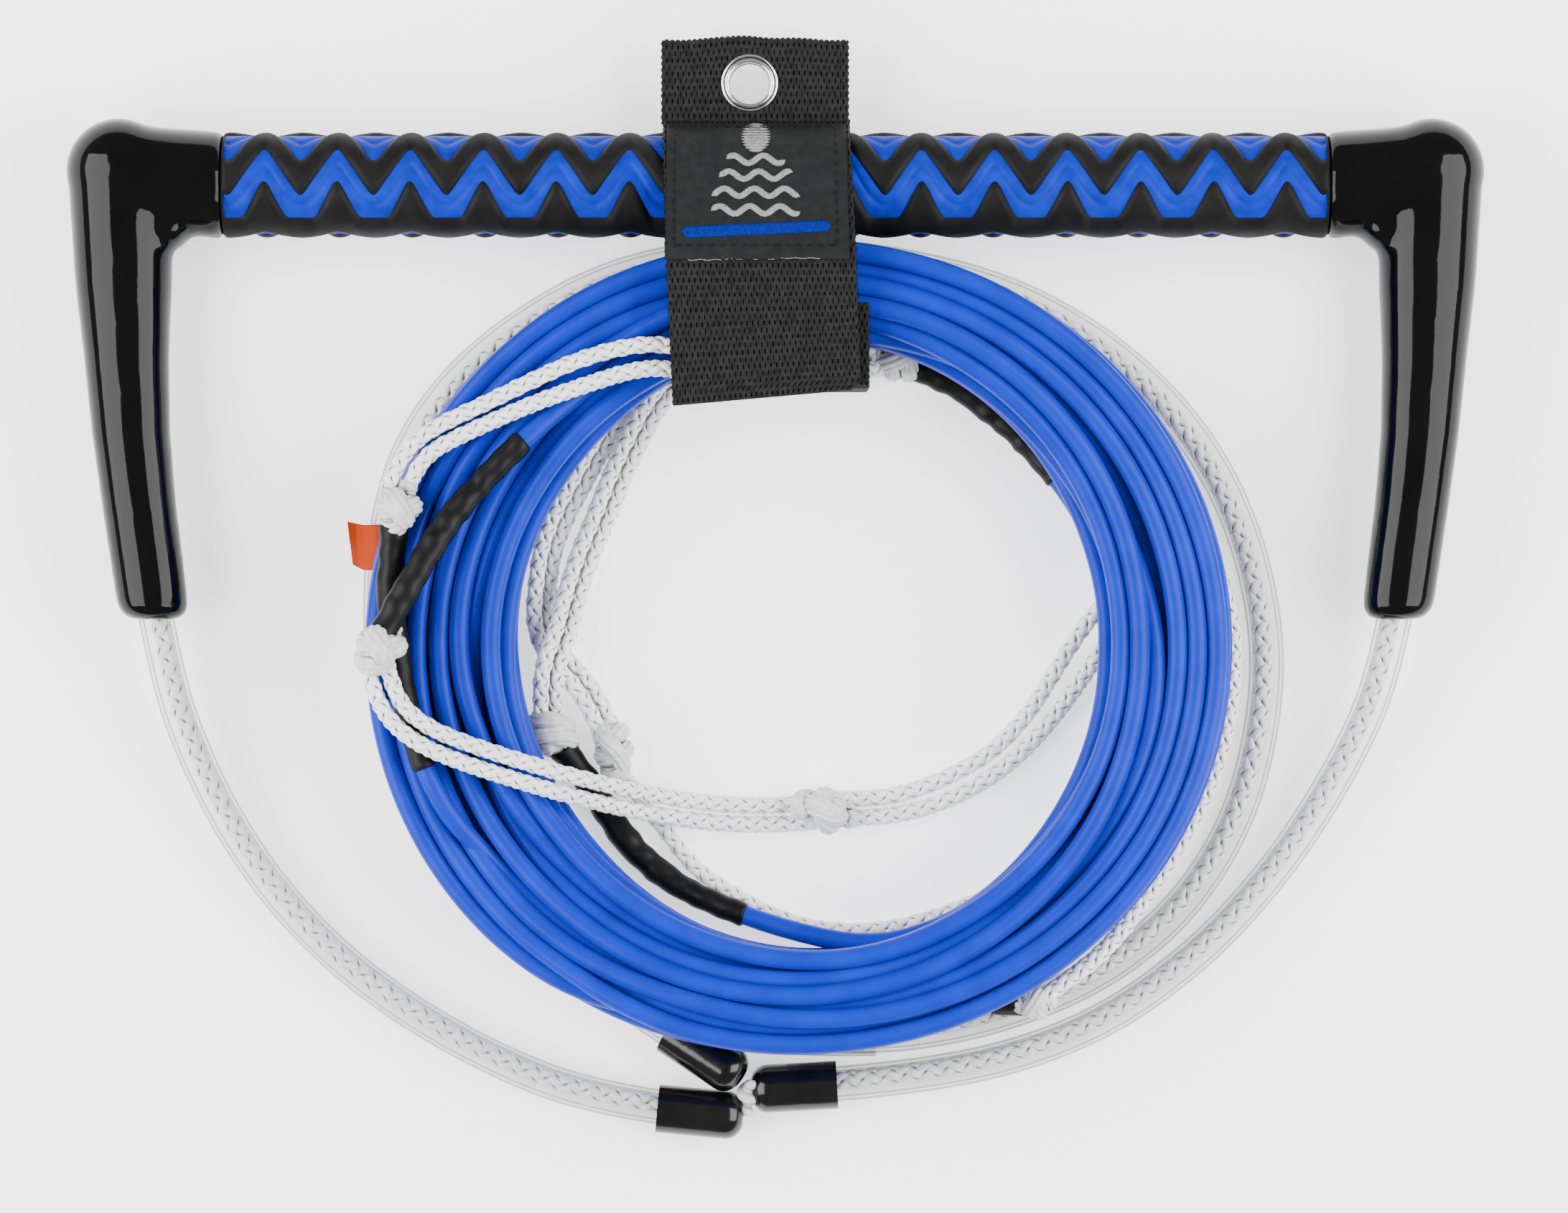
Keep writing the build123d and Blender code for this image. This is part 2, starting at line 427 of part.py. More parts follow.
with BuildPart() as strap_front:
    with BuildSketch(strap_side(STRAP_FRONT_X[0])):
        with BuildLine():
            front_profile(0, 3, FRONT_END_Y)
        trace(line_width=WEBBING)
    extrude(amount=STRAP_FRONT_X[1] - STRAP_FRONT_X[0])
save(strap_front, "strap_front")

LABEL_X = (-28.2, 17.6)
with BuildPart() as label_patch:
    with BuildSketch(strap_side(LABEL_X[0])):
        with BuildLine():
            front_profile(WEBBING / 2 + PATCH / 2, 8, FRONT_END_Y + 1.5)
        trace(line_width=PATCH)
    extrude(amount=LABEL_X[1] - LABEL_X[0])
save(label_patch, "label_patch")

LOOP_PATCH_Y = (-12.0, 5.0)
with BuildPart() as loop_patch:
    with BuildSketch(Plane.XY.offset(OVER_Z + WEBBING / 2)):
        with Locations((0, sum(LOOP_PATCH_Y) / 2)):
            Rectangle(44, LOOP_PATCH_Y[1] - LOOP_PATCH_Y[0])
    extrude(amount=PATCH)
save(loop_patch, "loop_patch")

with BuildPart() as strap_flap:
    with BuildSketch(Plane.XY.offset(FLAP_HINGE_Z - WEBBING / 2)):
        with BuildLine():
            Polyline((-28.2, FLAP_HINGE_Y - FLAP_GAP), (-27.4, -21.2), (20.0, -17.2), (22.5, -14.8),
                     (21.2, FLAP_HINGE_Y - FLAP_GAP), close=True)
        make_face()
    extrude(amount=WEBBING)
save(strap_flap, "strap_flap")

with BuildPart() as hook_patch:
    with BuildSketch(Plane.XY.offset(FLAP_HINGE_Z - WEBBING / 2)):
        with Locations((-3.0, -5.0)):
            Rectangle(42, 20)
    extrude(amount=-PATCH)
save(hook_patch, "hook_patch")

with BuildPart() as hang_tab:
    with BuildSketch(Plane.XY.offset(BAR_Z - TAB_THICK / 2)):
        with BuildLine():
            Polyline((STRAP_FRONT_X[0], TAB_START_Y), (STRAP_FRONT_X[1], TAB_START_Y),
                     (STRAP_FRONT_X[1], 75.6), (6.0, 76.4), (-3.0, TAB_END_Y), (-12.0, TAB_END_Y),
                     (-20.0, 76.6), (STRAP_FRONT_X[0], 75.8), close=True)
        make_face()
        with Locations((GROMMET_X, GROMMET_Y)):
            Circle(GROMMET_NECK_R, mode=Mode.SUBTRACT)
    extrude(amount=TAB_THICK)
save(hang_tab, "hang_tab")


def grommet_half(name, side, neck):
    """One half of the eyelet: a domed flange outside the webbing, and the neck on the top half."""
    with BuildPart() as half:
        with BuildSketch(Plane.XY.offset(BAR_Z + side * TAB_THICK / 2)):
            with Locations((GROMMET_X, GROMMET_Y)):
                Circle(GROMMET_FLANGE_R)
        extrude(amount=side * GROMMET_FLANGE)
        outer = half.faces().sort_by(Axis.Z)[-1 if side > 0 else 0]
        fillet(outer.edges(), radius=0.5)
        if neck:
            with BuildSketch(Plane.XY.offset(BAR_Z + side * TAB_THICK / 2)):
                with Locations((GROMMET_X, GROMMET_Y)):
                    Circle(GROMMET_NECK_R)
            extrude(amount=-side * (TAB_THICK + GROMMET_FLANGE))
        hole_r = GROMMET_HOLE_R if neck else GROMMET_NECK_R
        with BuildSketch(Plane.XY.offset(BAR_Z - 4)):
            with Locations((GROMMET_X, GROMMET_Y)):
                Circle(hole_r)
        extrude(amount=8, mode=Mode.SUBTRACT)
    save(half, name)


grommet_half("grommet", 1, True)
grommet_half("grommet_washer", -1, False)
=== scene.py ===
"""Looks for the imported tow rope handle: grip, dipped fittings, clear tubes, plaited ropes, coil and strap.

Metres, in the frame of the CAD model: the bar runs along X, the ropes lie towards -Y, the floor is Z = 0.
"""
from math import atan2, cos, degrees, pi, radians, sin

import bpy
import numpy as np
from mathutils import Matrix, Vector


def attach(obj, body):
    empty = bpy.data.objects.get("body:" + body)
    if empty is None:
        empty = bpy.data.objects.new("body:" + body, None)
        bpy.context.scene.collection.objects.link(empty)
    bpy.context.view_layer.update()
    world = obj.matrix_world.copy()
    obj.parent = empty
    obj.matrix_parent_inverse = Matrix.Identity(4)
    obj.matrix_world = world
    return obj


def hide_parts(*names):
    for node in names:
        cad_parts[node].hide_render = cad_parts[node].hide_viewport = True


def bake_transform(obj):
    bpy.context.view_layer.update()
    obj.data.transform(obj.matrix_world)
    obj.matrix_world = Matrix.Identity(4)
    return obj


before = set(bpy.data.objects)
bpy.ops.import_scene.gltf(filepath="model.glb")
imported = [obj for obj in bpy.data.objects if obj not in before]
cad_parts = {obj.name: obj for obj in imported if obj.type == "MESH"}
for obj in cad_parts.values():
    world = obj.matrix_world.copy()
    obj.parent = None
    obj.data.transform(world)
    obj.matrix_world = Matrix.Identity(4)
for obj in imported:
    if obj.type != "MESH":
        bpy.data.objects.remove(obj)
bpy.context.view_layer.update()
chance = np.random.default_rng(7)

ROPE_BODY = "handle"
BAR_Y, BAR_Z = 0.0383, 0.0160
UP = np.array((0.0, 0.0, 1.0))

# ---- the routes of the cords, as in the CAD source -----------------------------------------------
BRIDLE_LEFT = (
    (-0.1684, -0.064, 0.016), (-0.1644, -0.092, 0.014), (-0.154, -0.121, 0.0095),
    (-0.138, -0.1485, 0.0063), (-0.1155, -0.1725, 0.0049), (-0.0845, -0.193, 0.0049),
    (-0.048, -0.2084, 0.0063), (-0.014, -0.2116, 0.0065))
BRIDLE_RIGHT = (
    (0.1684, -0.064, 0.016), (0.1644, -0.092, 0.014), (0.152, -0.1195, 0.0095), (0.135, -0.146, 0.0063),
    (0.1125, -0.1705, 0.0049), (0.082, -0.191, 0.0049), (0.04, -0.2022, 0.0063),
    (-0.001, -0.2045, 0.0065))
TRUNK = (
    (-0.0134, -0.1985, 0.01), (-0.0383, -0.1824, 0.0049), (-0.051, -0.1732, 0.0048),
    (-0.0752, -0.153, 0.0048), (-0.0945, -0.129, 0.0048), (-0.1043, -0.1035, 0.005),
    (-0.107, -0.0775, 0.0052), (-0.1053, -0.053, 0.0052), (-0.0985, -0.03, 0.005),
    (-0.082, -0.0085, 0.0048), (-0.055, 0.01, 0.005), (-0.029, 0.0186, 0.0068), (0.001, 0.0206, 0.0068),
    (0.029, 0.0184, 0.0068), (0.06, 0.0115, 0.005), (0.085, -0.0015, 0.0048), (0.105, -0.0185, 0.0048),
    (0.119, -0.0375, 0.0048), (0.1285, -0.06, 0.0048), (0.133, -0.085, 0.0048),
    (0.1315, -0.107, 0.0048), (0.126, -0.129, 0.0048), (0.1155, -0.1485, 0.0048),
    (0.102, -0.1635, 0.0048), (0.0835, -0.1762, 0.0048), (0.062, -0.1846, 0.0048),
    (0.043, -0.189, 0.0052), (0.024, -0.1908, 0.0055), (0.006, -0.1902, 0.0055))
PIGTAIL = (
    (0.006, -0.1902, 0.0055), (-0.012, -0.1855, 0.003), (-0.033, -0.1715, 0.0025),
    (-0.06, -0.146, 0.0025), (-0.074, -0.113, 0.0025), (-0.0775, -0.077, 0.0025),
    (-0.0725, -0.042, 0.0025), (-0.0575, -0.014, 0.0025), (-0.036, 0.004, 0.004),
    (-0.01, 0.011, 0.0044), (0.02, 0.0105, 0.0044), (0.05, 0.0015, 0.0032), (0.076, -0.0155, 0.0025),
    (0.09, -0.038, 0.0025), (0.094, -0.064, 0.0025), (0.094, -0.09, 0.0025), (0.089, -0.115, 0.0025),
    (0.079, -0.135, 0.0025), (0.064, -0.1495, 0.0025), (0.046, -0.158, 0.0025),
    (0.026, -0.1628, 0.0025), (0.006, -0.1613, 0.0025), (-0.011, -0.153, 0.0025),
    (-0.0228, -0.1446, 0.0025), (-0.0298, -0.1347, 0.0025), (-0.0366, -0.127, 0.003),
    (-0.0425, -0.117, 0.0046))
LEAD_A = (
    (-0.1015, -0.053, 0.0326), (-0.103, -0.067, 0.0306), (-0.1018, -0.083, 0.0301),
    (-0.0988, -0.101, 0.0304), (-0.091, -0.126, 0.0306), (-0.076, -0.143, 0.024))
LEAD_B = (
    (-0.1048, -0.0825, 0.0388), (-0.0978, -0.07, 0.0388), (-0.09, -0.056, 0.0352),
    (-0.08, -0.043, 0.0328), (-0.062, -0.0255, 0.0314), (-0.05, -0.016, 0.0245))
LEAD_C = (
    (-0.0574, -0.113, 0.0058), (-0.0507, -0.1211, 0.004), (-0.0455, -0.131, 0.0042),
    (-0.0364, -0.1422, 0.005), (-0.025, -0.1512, 0.0064), (0.0, -0.161, 0.0123), (0.026, -0.1663, 0.017))
LEAD_D = (
    (0.0345, -0.009, 0.0054), (0.044, -0.0123, 0.0046), (0.055, -0.019, 0.0046),
    (0.066, -0.0285, 0.005), (0.08, -0.045, 0.0072), (0.089, -0.063, 0.0145))
LEAD_E = (
    (0.068, -0.181, 0.0144), (0.056, -0.1803, 0.0146), (0.042, -0.178, 0.016), (0.022, -0.1765, 0.018))
LEAD_F = (
    (-0.09, -0.066, 0.005), (-0.091, -0.08, 0.0046), (-0.0895, -0.095, 0.0046),
    (-0.0845, -0.11, 0.0052), (-0.076, -0.124, 0.0082), (-0.064, -0.1375, 0.0145))


def doubled(points, *spacings):
    """The middle of a doubled rope: x, y, z, half the spacing sideways and half the spacing in height.

    Each spacing holds from the point with its first number on.
    """
    middle = []
    for index, point in enumerate(points):
        side, rise = [spacing[1:] for spacing in spacings if spacing[0] <= index][-1]
        middle.append((*point, side, rise))
    return middle


LOOP_A = doubled((
    (-0.1009, -0.044, 0.0312), (-0.0982, -0.037, 0.0302), (-0.093, -0.0312, 0.0304),
    (-0.086, -0.0274, 0.031), (-0.076, -0.0228, 0.0319), (-0.064, -0.0174, 0.0342),
    (-0.0515, -0.0124, 0.0358), (-0.0386, -0.0086, 0.0366), (-0.0289, -0.008, 0.0372),
    (-0.018, -0.0116, 0.036), (-0.008, -0.0124, 0.029), (0.0032, -0.0105, 0.0216)),
    (0, 0.0025, 0.0), (5, 0.0029, 0.0), (6, 0.0035, 0.0), (7, 0.0033, 0.0), (8, 0.0032, 0.0),
    (9, 0.0022, 0.0014), (10, 0.0016, 0.002), (11, 0.0034, 0.0034))
LOOP_B = doubled((
    (-0.1056, -0.091, 0.0384), (-0.1038, -0.098, 0.0382), (-0.0995, -0.1046, 0.038),
    (-0.0924, -0.1097, 0.0374), (-0.0825, -0.1138, 0.034), (-0.071, -0.1176, 0.0326),
    (-0.059, -0.1212, 0.0332), (-0.047, -0.1246, 0.0246), (-0.0345, -0.1276, 0.0136),
    (-0.0175, -0.1306, 0.0048), (0.0, -0.1312, 0.0026), (0.017, -0.1294, 0.0026),
    (0.031, -0.1288, 0.0026), (0.0415, -0.126, 0.0026), (0.051, -0.1218, 0.0026),
    (0.061, -0.1156, 0.0026), (0.0705, -0.1058, 0.0028), (0.0785, -0.094, 0.0048),
    (0.086, -0.082, 0.0086), (0.095, -0.071, 0.0082), (0.1075, -0.0586, 0.0058)),
    (0, 0.0026, 0.0), (13, 0.0028, 0.0), (14, 0.0029, 0.0), (15, 0.0028, 0.0), (16, 0.003, 0.0),
    (17, 0.0036, 0.0), (18, 0.0038, 0.0), (19, 0.003, 0.001), (20, 0.0034, 0.0032))
LOOP_C = doubled((
    (-0.0612, -0.104, 0.0062), (-0.0614, -0.0965, 0.0106), (-0.0602, -0.0895, 0.0126),
    (-0.0574, -0.0825, 0.012), (-0.055, -0.072, 0.0062), (-0.0514, -0.0608, 0.0043),
    (-0.047, -0.0506, 0.0043), (-0.0432, -0.0406, 0.0043), (-0.0384, -0.0302, 0.0043),
    (-0.0325, -0.019, 0.0045), (-0.025, -0.0116, 0.0059), (-0.0135, -0.0108, 0.0076),
    (0.001, -0.011, 0.0094)),
    (0, 0.0019, 0.0016), (11, 0.0024, 0.002), (12, 0.0034, 0.0034))
LOOP_D = doubled((
    (0.029, -0.008, 0.0072), (0.0185, -0.0092, 0.0146), (0.0084, -0.0103, 0.0186),
    (-0.0032, -0.0105, 0.0254)),
    (0, 0.0024, 0.0006), (1, 0.0026, 0.0006), (2, 0.003, 0.002), (3, 0.0034, 0.0034))
LOOP_E = doubled((
    (0.0714, -0.1798, 0.0148), (0.0784, -0.1749, 0.0148), (0.0864, -0.169, 0.0138),
    (0.0936, -0.1614, 0.0106), (0.101, -0.1512, 0.0062), (0.108, -0.1405, 0.0051),
    (0.1144, -0.1292, 0.0051), (0.1192, -0.1172, 0.0051), (0.1224, -0.104, 0.0051),
    (0.1238, -0.09, 0.0051), (0.123, -0.0765, 0.0051), (0.1185, -0.064, 0.0052),
    (0.112, -0.0555, 0.0056), (0.1025, -0.0625, 0.0058)),
    (0, 0.0, 0.0025), (11, 0.0006, 0.0026), (12, 0.0024, 0.003), (13, 0.0034, 0.0032))
LOOP_F = doubled((
    (-0.0894, -0.058, 0.0044), (-0.088, -0.046, 0.0026), (-0.0845, -0.0345, 0.0026),
    (-0.0785, -0.024, 0.0026)),
    (0, 0.0025, 0.0), (1, 0.003, 0.0), (2, 0.0038, 0.0), (3, 0.0042, 0.0))
PIGTAIL_LOOP = doubled((
    (-0.0458, -0.1076, 0.005), (-0.0496, -0.0994, 0.0043), (-0.055, -0.0926, 0.0043),
    (-0.0608, -0.0868, 0.0043), (-0.0636, -0.079, 0.0043), (-0.0629, -0.0696, 0.0043),
    (-0.0618, -0.0604, 0.0043), (-0.0586, -0.0512, 0.0043), (-0.0532, -0.041, 0.0043),
    (-0.0468, -0.0296, 0.0043), (-0.039, -0.0158, 0.0045), (-0.028, -0.0046, 0.0057),
    (-0.013, 0.0016, 0.0061), (0.003, 0.0018, 0.0061), (0.0155, 0.0004, 0.0061),
    (0.017, -0.0112, 0.0066), (0.0055, -0.0116, 0.0084), (-0.006, -0.011, 0.0094)),
    (0, 0.0018, 0.0018), (16, 0.0024, 0.0024), (17, 0.0034, 0.0034))

WHITE_ROPE, BRIDLE_ROPE, BLUE_ROPE = 0.0048, 0.0054, 0.0055
TUBE_OUTER, TUBE_INNER = 0.0095, 0.0074


# ---- materials ------------------------------------------------------------------------------------
class Finish:
    """A material with one shader, whose colour and bump are built up from procedural textures."""

    def __init__(self, name, color, roughness, **sockets):
        self.material = bpy.data.materials.new(name)
        self.material.use_nodes = True
        self.nodes, self.links = self.material.node_tree.nodes, self.material.node_tree.links
        self.shader = self.nodes["Principled BSDF"]
        self.color = color
        self.shader.inputs["Base Color"].default_value = color
        self.shader.inputs["Roughness"].default_value = roughness
        for socket, value in sockets.items():
            self.shader.inputs[socket.replace("_", " ")].default_value = value
        self.place = self.nodes.new("ShaderNodeTexCoord").outputs["Object"]
        self.normal = None

    def stretched(self, scale):
        mapping = self.nodes.new("ShaderNodeMapping")
        mapping.inputs["Scale"].default_value = scale
        self.links.new(self.place, mapping.inputs["Vector"])
        return mapping.outputs["Vector"]

    def noise(self, scale, detail=4.0, stretch=(1, 1, 1)):
        texture = self.nodes.new("ShaderNodeTexNoise")
        texture.inputs["Scale"].default_value = scale
        texture.inputs["Detail"].default_value = detail
        self.links.new(self.stretched(stretch), texture.inputs["Vector"])
        return texture.outputs["Fac"]

    def waves(self, scale, direction, distortion=0.0):
        texture = self.nodes.new("ShaderNodeTexWave")
        texture.bands_direction = direction
        texture.inputs["Scale"].default_value = scale
        texture.inputs["Distortion"].default_value = distortion
        self.links.new(self.place, texture.inputs["Vector"])
        return texture.outputs["Fac"]

    def ramp(self, factor, low, high, dark, light):
        """Colour by a texture: dark below low, light above high."""
        ramp = self.nodes.new("ShaderNodeValToRGB")
        ramp.color_ramp.elements[0].position, ramp.color_ramp.elements[0].color = low, dark
        ramp.color_ramp.elements[1].position, ramp.color_ramp.elements[1].color = high, light
        self.links.new(factor, ramp.inputs["Fac"])
        return ramp.outputs["Color"]

    def mottle(self, scale, darker, lighter):
        tones = [tone(*(min(1.0, part * share) for part in self.color[:3])) for share in (darker, lighter)]
        color = self.ramp(self.noise(scale), 0.32, 0.68, *tones)
        self.links.new(color, self.shader.inputs["Base Color"])
        return self

    def paint_crease_shade(self, distance, dark):
        """Painted shade: darker where the surface folds in on itself, as between the strands of a rope."""
        hollow = self.nodes.new("ShaderNodeAmbientOcclusion")
        hollow.samples = 6
        hollow.only_local = True
        hollow.inputs["Distance"].default_value = distance
        shade = self.ramp(hollow.outputs["AO"], 0.25, 0.85, tone(dark), tone(1.0))
        mix = self.nodes.new("ShaderNodeMix")
        mix.data_type, mix.blend_type = "RGBA", "MULTIPLY"
        mix.inputs[0].default_value = 1.0
        base = self.shader.inputs["Base Color"]
        self.links.new(base.links[0].from_socket, mix.inputs[6])
        self.links.new(shade, mix.inputs[7])
        self.links.new(mix.outputs[2], base)
        return self

    def rough_patches(self, scale, smooth, rough):
        texture = self.noise(scale, 3.0)
        spread = self.nodes.new("ShaderNodeMapRange")
        spread.inputs["From Min"].default_value, spread.inputs["From Max"].default_value = 0.3, 0.7
        spread.inputs["To Min"].default_value, spread.inputs["To Max"].default_value = smooth, rough
        self.links.new(texture, spread.inputs["Value"])
        self.links.new(spread.outputs["Result"], self.shader.inputs["Roughness"])
        return self

    def bump(self, height, depth, strength=1.0):
        node = self.nodes.new("ShaderNodeBump")
        node.inputs["Distance"].default_value = depth
        node.inputs["Strength"].default_value = strength
        self.links.new(height, node.inputs["Height"])
        if self.normal:
            self.links.new(self.normal, node.inputs["Normal"])
        self.normal = node.outputs["Normal"]
        self.links.new(self.normal, self.shader.inputs["Normal"])
        return self


def tone(red, green=None, blue=None):
    """A colour as the linear share of light that it sends back, for the bright light of this studio."""
    return (red, red if green is None else green, red if blue is None else blue, 1.0)


def plain(name, color, roughness, specular, mottle, *bumps, **sockets):
    """A mottled finish. Each of its noise bumps gives scale, detail, depth, strength and stretch."""
    finish = Finish(name, tone(*color), roughness, Specular_IOR_Level=specular, **sockets).mottle(*mottle)
    for scale, detail, depth, strength, *stretch in bumps:
        finish.bump(finish.noise(scale, detail, *stretch), depth, strength)
    return finish


def make_finishes():
    """Every material, by the name that the pieces ask for it with."""
    finishes = {
        "fitting": plain("dipped_rubber", (0.0016,), 0.07, 0.17, (60.0, 0.7, 1.4), (38.0, 2.0, 0.0005, 0.5),
                         (900.0, 3.0, 0.00002, 0.5)),
        "cap": plain("vinyl_cap", (0.003,), 0.17, 0.36, (200.0, 0.7, 1.4), (160.0, 2.0, 0.0003, 0.5)),
        "grip_black": plain("grip_black_rubber", (0.0058,), 0.55, 0.09, (140.0, 0.7, 1.35),
                            (2600.0, 3.0, 0.00006, 0.8)).rough_patches(90.0, 0.48, 0.66),
        "grip_blue": plain("grip_blue_rubber", (0.0018, 0.0165, 0.31), 0.4, 0.05, (180.0, 0.8, 1.18),
                           (1800.0, 3.0, 0.00005, 0.7)),
        "blue": plain("blue_rope_sheath", (0.0019, 0.0185, 0.36), 0.34, 0.1, (90.0, 0.88, 1.1),
                      (420.0, 3.0, 0.00012, 0.6)),
        # The white plait and the webbing take painted crease shade from their occlusion.
        "white": plain("white_plait", (0.86, 0.86, 0.855), 0.5, 0.3, (700.0, 0.86, 1.05),
                       (3800.0, 3.0, 0.00012, 0.9, (1, 1, 0.5)), Sheen_Weight=0.1).paint_crease_shade(0.0016, 0.16),
        # The knots' rope is the white plait's rope, toned darker and with deeper crease shade: painted shade.
        "knot": plain("knotted_rope_shaded", (0.62, 0.62, 0.615), 0.5, 0.3, (500.0, 0.8, 1.1),
                      (3800.0, 3.0, 0.00014, 0.9, (1, 1, 0.5))).paint_crease_shade(0.0032, 0.08),
        "sleeve": plain("shrunk_sleeve", (0.0046,), 0.42, 0.12, (260.0, 0.6, 1.5),
                        (1500.0, 3.0, 0.00005, 0.7)),
        "webbing": plain("black_webbing", (0.0098,), 0.62, 0.1, (700.0, 0.45, 1.5),
                         (5200.0, 3.0, 0.00016, 1.0, (1, 0.4, 1))).paint_crease_shade(0.0011, 0.12),
        # A near-black finish: painted shade in the holes of the weave and in the eyelet's groove and throat.
        "gap": plain("painted_shade_in_holes", (0.0012,), 0.8, 0.02, (1500.0, 0.5, 1.8), (5200.0, 2.0, 0.0001, 1.0)),
        "tape": plain("hook_tape", (0.004,), 0.85, 0.05, (1200.0, 0.5, 1.7), (2400.0, 2.0, 0.0004, 1.0)),
        "label": plain("woven_label", (0.0092, 0.0094, 0.0098), 0.6, 0.12, (420.0, 0.78, 1.25)),
        "label_thread": plain("black_thread", (0.003,), 0.5, 0.12, (2500.0, 0.5, 1.7),
                              (4000.0, 2.0, 0.00005, 1.0)),
        "silver_thread": plain("silver_thread", (0.25,), 0.45, 0.25, (1500.0, 0.6, 1.25)),
        "blue_thread": plain("blue_thread", (0.0012, 0.0125, 0.2), 0.5, 0.05, (1500.0, 0.65, 1.3)),
        "chrome": plain("plated_eyelet", (0.72,), 0.1, 0.5, (300.0, 0.95, 1.05), (300.0, 2.0, 0.00003, 0.4),
                        Metallic=1.0),
        "tag": plain("orange_film", (0.33, 0.028, 0.001), 0.4, 0.06, (250.0, 0.9, 1.08),
                     (250.0, 2.0, 0.0002, 0.4)),
        "core": plain("drawn_tube", (0.5,), 0.3, 0.5, (800.0, 0.9, 1.1), (900.0, 2.0, 0.00002, 0.5),
                      Metallic=1.0),
        "clear": plain("clear_pvc", (0.085, 0.088, 0.092), 0.07, 0.7, (160.0, 0.9, 1.1),
                       (120.0, 2.0, 0.0003, 0.4), IOR=1.45),
        "floor": plain("studio_floor", (0.95,), 0.8, 0.1, (3.0, 0.99, 1.0), (600.0, 2.0, 0.00005, 0.3),
                       Emission_Color=tone(1.0), Emission_Strength=1.0)}
    label = finishes["label"]
    label.bump(label.waves(820.0, "DIAGONAL", 0.6), 0.00008, 0.9)
    for thread in (finishes["silver_thread"], finishes["blue_thread"]):
        thread.bump(thread.waves(1100.0, "X", 0.5), 0.00012)
    clear = finishes["clear"]
    facing = clear.nodes.new("ShaderNodeLayerWeight")
    facing.inputs["Blend"].default_value = 0.5
    haze = clear.nodes.new("ShaderNodeMapRange")
    haze.inputs["From Min"].default_value, haze.inputs["From Max"].default_value = 0.40, 0.93
    haze.inputs["To Min"].default_value, haze.inputs["To Max"].default_value = 0.08, 0.95
    clear.links.new(facing.outputs["Facing"], haze.inputs["Value"])
    clear.links.new(haze.outputs["Result"], clear.shader.inputs["Alpha"])
    return finishes


finishes = make_finishes()


# ---- meshes ---------------------------------------------------------------------------------------
def build(name, parts, finish, shaded_faces=None):
    """One mesh object from (points, faces) parts. Marked faces take a near-black finish: painted shade in the
    hollows.
    """
    points, faces, start = [], [], 0
    for part_points, part_faces in parts:
        points += np.asarray(part_points, float).tolist()
        faces += [[index + start for index in face] for face in part_faces]
        start += len(part_points)
    mesh = bpy.data.meshes.new(name)
    mesh.from_pydata(points, [], faces)
    mesh.materials.append(finishes[finish].material)
    mesh.polygons.foreach_set("use_smooth", [True] * len(mesh.polygons))
    if shaded_faces is not None:
        mesh.materials.append(finishes["gap"].material)
        mesh.polygons.foreach_set("material_index", shaded_faces)
    mesh.update()
    piece = bpy.data.objects.new(name, mesh)
    bpy.context.scene.collection.objects.link(piece)
    return piece


def grid(rows, columns, closed=True):
    """Faces of a grid of points, rows by columns, whose columns may run round."""
    last = columns if closed else columns - 1
    row, column = np.meshgrid(np.arange(rows - 1), np.arange(last), indexing="ij")
    row, column = row.ravel(), column.ravel()
    beside = (column + 1) % columns
    below = (row + 1) * columns
    quads = (row * columns + column, row * columns + beside, below + beside, below + column)
    return np.stack(quads, axis=1).tolist()


def lids(rows, columns):
    """The two end faces of a grid whose columns run round."""
    last = (rows - 1) * columns
    return [list(range(columns))[::-1], [last + index for index in range(columns)]]


def strip(rows, columns):
    """Faces of a thin strip: an upper skin, the lower skin that follows it, and the wall round both."""
    count = rows * columns
    upper = [face[::-1] for face in grid(rows, columns, closed=False)]
    lower = [[index + count for index in face[::-1]] for face in upper]
    rim = ([row * columns for row in range(rows)]
           + [(rows - 1) * columns + index for index in range(1, columns)]
           + [row * columns + columns - 1 for row in range(rows - 2, -1, -1)]
           + list(range(columns - 2, 0, -1)))
    wall = [[first, second, second + count, first + count] for first, second in zip(rim, rim[1:] + rim[:1])]
    return upper + lower + wall


def belong(piece, slot, *nodes, body=ROPE_BODY):
    """Put a piece on its body and hide the CAD nodes that it stands for. The slot is not used."""
    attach(piece, body)
    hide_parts(*nodes)


def unit(vectors):
    return vectors / np.maximum(np.linalg.norm(vectors, axis=-1, keepdims=True), 1e-12)


def lengths(line):
    return np.concatenate([[0.0], np.cumsum(np.linalg.norm(np.diff(line, axis=0), axis=1))])


def look_up(table, along, at):
    """A table's rows, which lie at lengths along a line, read at other lengths."""
    return np.stack([np.interp(at, along, table[:, axis]) for axis in range(3)], axis=-1)


def round_angles(sides):
    """Even angles all the way round."""
    return np.arange(sides) * 2 * pi / sides


def even(line, step):
    """The line again, with points about a step apart."""
    along = lengths(line)
    at = np.linspace(0, along[-1], max(4, int(along[-1] / step) + 2))
    return look_up(line, along, at)


def start_of(line, length):
    """The line up to a length along it."""
    along = lengths(line)
    return np.vstack([line[along < length], look_up(line, along, length)])


def frames(line):
    """Normal and binormal along a line, turned as little as possible."""
    tangent = unit(np.gradient(line, axis=0))
    side = np.cross(tangent[0], UP)
    if np.linalg.norm(side) < 0.2:
        side = np.cross(tangent[0], (0.0, 1.0, 0.0))
    normal = np.zeros_like(line)
    for index, forward in enumerate(tangent):
        side = side - side.dot(forward) * forward
        side = side / np.linalg.norm(side)
        normal[index] = side
    return normal, np.cross(tangent, normal)


